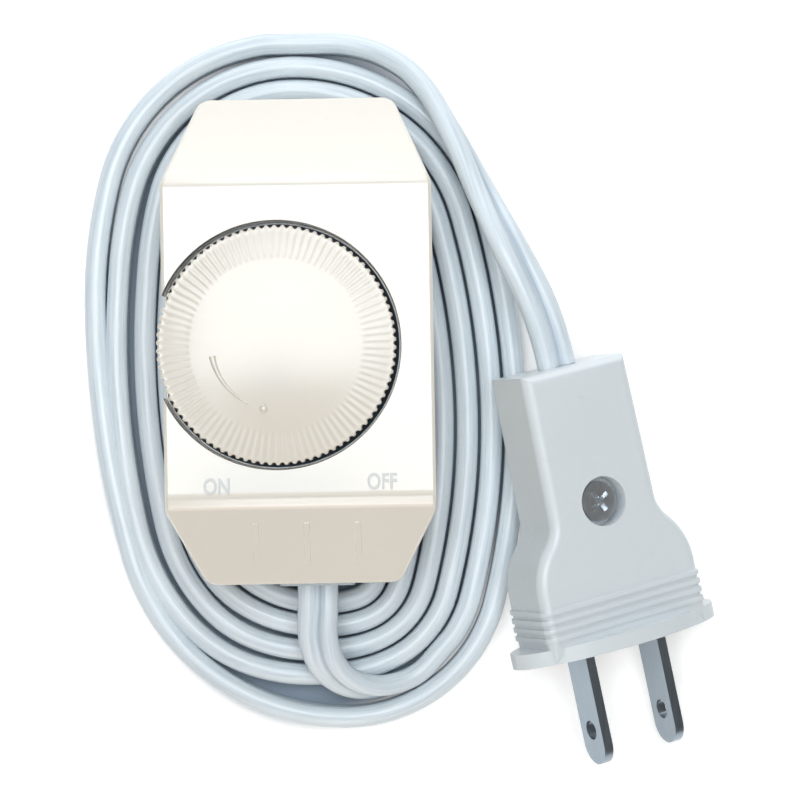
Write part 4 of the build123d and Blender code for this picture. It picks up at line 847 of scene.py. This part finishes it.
# floor size and the light in metres and Blender's own units, the coil's ellipse in millimetres
stage = {
    "floorSize": 4.0, "below": 0.02, "rough": 0.9, "glow": 0.3, "shadow": (0.30, 0.36, 0.43), "paper": (0.9, 0.9, 0.9),
    "coilX": 0.5, "coilY": -6.0, "coilHalfX": 34.0, "coilHalfY": 54.0, "edgeFrom": 0.93, "edgeTo": 1.03,
    "worldLight": 0.16, "worldTone": (0.95, 0.93, 0.9), "ceiling": 0.9,
}
floorMesh = bpy.data.meshes.new("floor")
half = stage["floorSize"] / 2
floorZ = (cord["floorZ"] - stage["below"]) * mm
corners = [(-half, -half, floorZ), (half, -half, floorZ), (half, half, floorZ), (-half, half, floorZ)]
floorMesh.from_pydata(corners, [], [(0, 1, 2, 3)])
floor = bpy.data.objects.new("floor", floorMesh)
bpy.context.collection.objects.link(floor)
paper = bpy.data.materials.new("paper")
paper.use_nodes = True
tree = paper.node_tree
shader = tree.nodes["Principled BSDF"]
shader.inputs["Roughness"].default_value = stage["rough"]
rays = tree.nodes.new("ShaderNodeLightPath").outputs
mirrored = mathNode(tree, "MAXIMUM", rays["Is Glossy Ray"], rays["Is Transmission Ray"])
shown = mathNode(tree, "MAXIMUM", rays["Is Camera Ray"], mirrored)
# the paper shines outside the coil only, so that the gaps between its strands stay dark; inside the coil's outline the
# paper is painted a bluish shadow colour
x, y, z = splitNode(tree, objectPlace(tree))
offX = mathNode(tree, "DIVIDE", mathNode(tree, "SUBTRACT", x, stage["coilX"] * mm), stage["coilHalfX"] * mm)
offY = mathNode(tree, "DIVIDE", mathNode(tree, "SUBTRACT", y, stage["coilY"] * mm), stage["coilHalfY"] * mm)
edge = tree.nodes.new("ShaderNodeMapRange")
edge.interpolation_type = "SMOOTHSTEP"
edge.inputs["From Min"].default_value = stage["edgeFrom"]
edge.inputs["From Max"].default_value = stage["edgeTo"]
tree.links.new(distanceNode(tree, offX, offY), edge.inputs["Value"])
outside = edge.outputs["Result"]
tree.links.new(mixNode(tree, outside, stage["shadow"], stage["paper"]), shader.inputs["Base Color"])
shader.inputs["Emission Color"].default_value = (1, 1, 1, 1)
tree.links.new(product(tree, shown, outside, stage["glow"]), shader.inputs["Emission Strength"])
floorMesh.materials.append(paper)

world = bpy.data.worlds.new("studio")
world.use_nodes = True
bpy.context.scene.world = world
sky = world.node_tree.nodes["Background"]
sky.inputs["Color"].default_value = (*stage["worldTone"], 1)
sky.inputs["Strength"].default_value = stage["worldLight"]


def areaLight(name, spot, aim, size, glare, colour):
    # glare is the brightness of the panel's own face
    data = bpy.data.lights.new(name, "AREA")
    data.shape = "RECTANGLE"
    data.size, data.size_y = size
    data.energy = glare * pi * size[0] * size[1]
    data.color = colour
    lamp = bpy.data.objects.new(name, data)
    lamp.location = spot
    lamp.rotation_euler = (Vector(aim) - Vector(spot)).to_track_quat("-Z", "Y").to_euler()
    bpy.context.collection.objects.link(lamp)


# panels overhead: low corner, high corner, glare and colour
overhead = {
    "key": ((-0.30, -0.03), (0.30, 0.33), 6.3, panelWhite),
    "blueStrip": ((-0.067, -0.08), (-0.003, -0.03), 2.8, (0.3, 0.6, 1.0)),
    "leftWing": ((-0.36, -0.075), (-0.067, -0.03), 6.3, panelWhite),
    "rightWing": ((-0.003, -0.075), (0.36, -0.03), 6.3, panelWhite),
    "leftPanel": ((-0.45, -0.35), (-0.16, -0.08), 2.2, panelWhite),
    "rightPanel": ((0.16, -0.35), (0.45, -0.08), 2.2, panelWhite),
    "warmPanel": ((-0.15, -0.33), (0.15, -0.085), 0.9, (1.0, 0.88, 0.74)),
}
# panels that stand round the part: place, aim, size, glare and colour
standing = {
    "warmFront": ((0.0, -0.7, 0.25), (0, 0, 0), (0.9, 0.3), 1.75, (1.0, 0.84, 0.68)),
    "back": ((0.0, 0.6, 0.13), (0, 0, 0.05), (0.9, 0.28), 2.9, coolWhite),
    "frontRise": ((-0.01, -0.64, 0.58), (0, 0, 0), (0.11, 0.56), 5.0, coolWhite),
    "backRise": ((-0.02, 0.62, 0.6), (0, 0, 0), (0.11, 0.6), 5.5, coolWhite),
}
for name, (lowCorner, highCorner, glare, colour) in overhead.items():
    x = (lowCorner[0] + highCorner[0]) / 2
    y = (lowCorner[1] + highCorner[1]) / 2
    size = (highCorner[0] - lowCorner[0], highCorner[1] - lowCorner[1])
    areaLight(name, (x, y, stage["ceiling"]), (x, y, 0), size, glare, colour)
for name, panel in standing.items():
    areaLight(name, *panel)
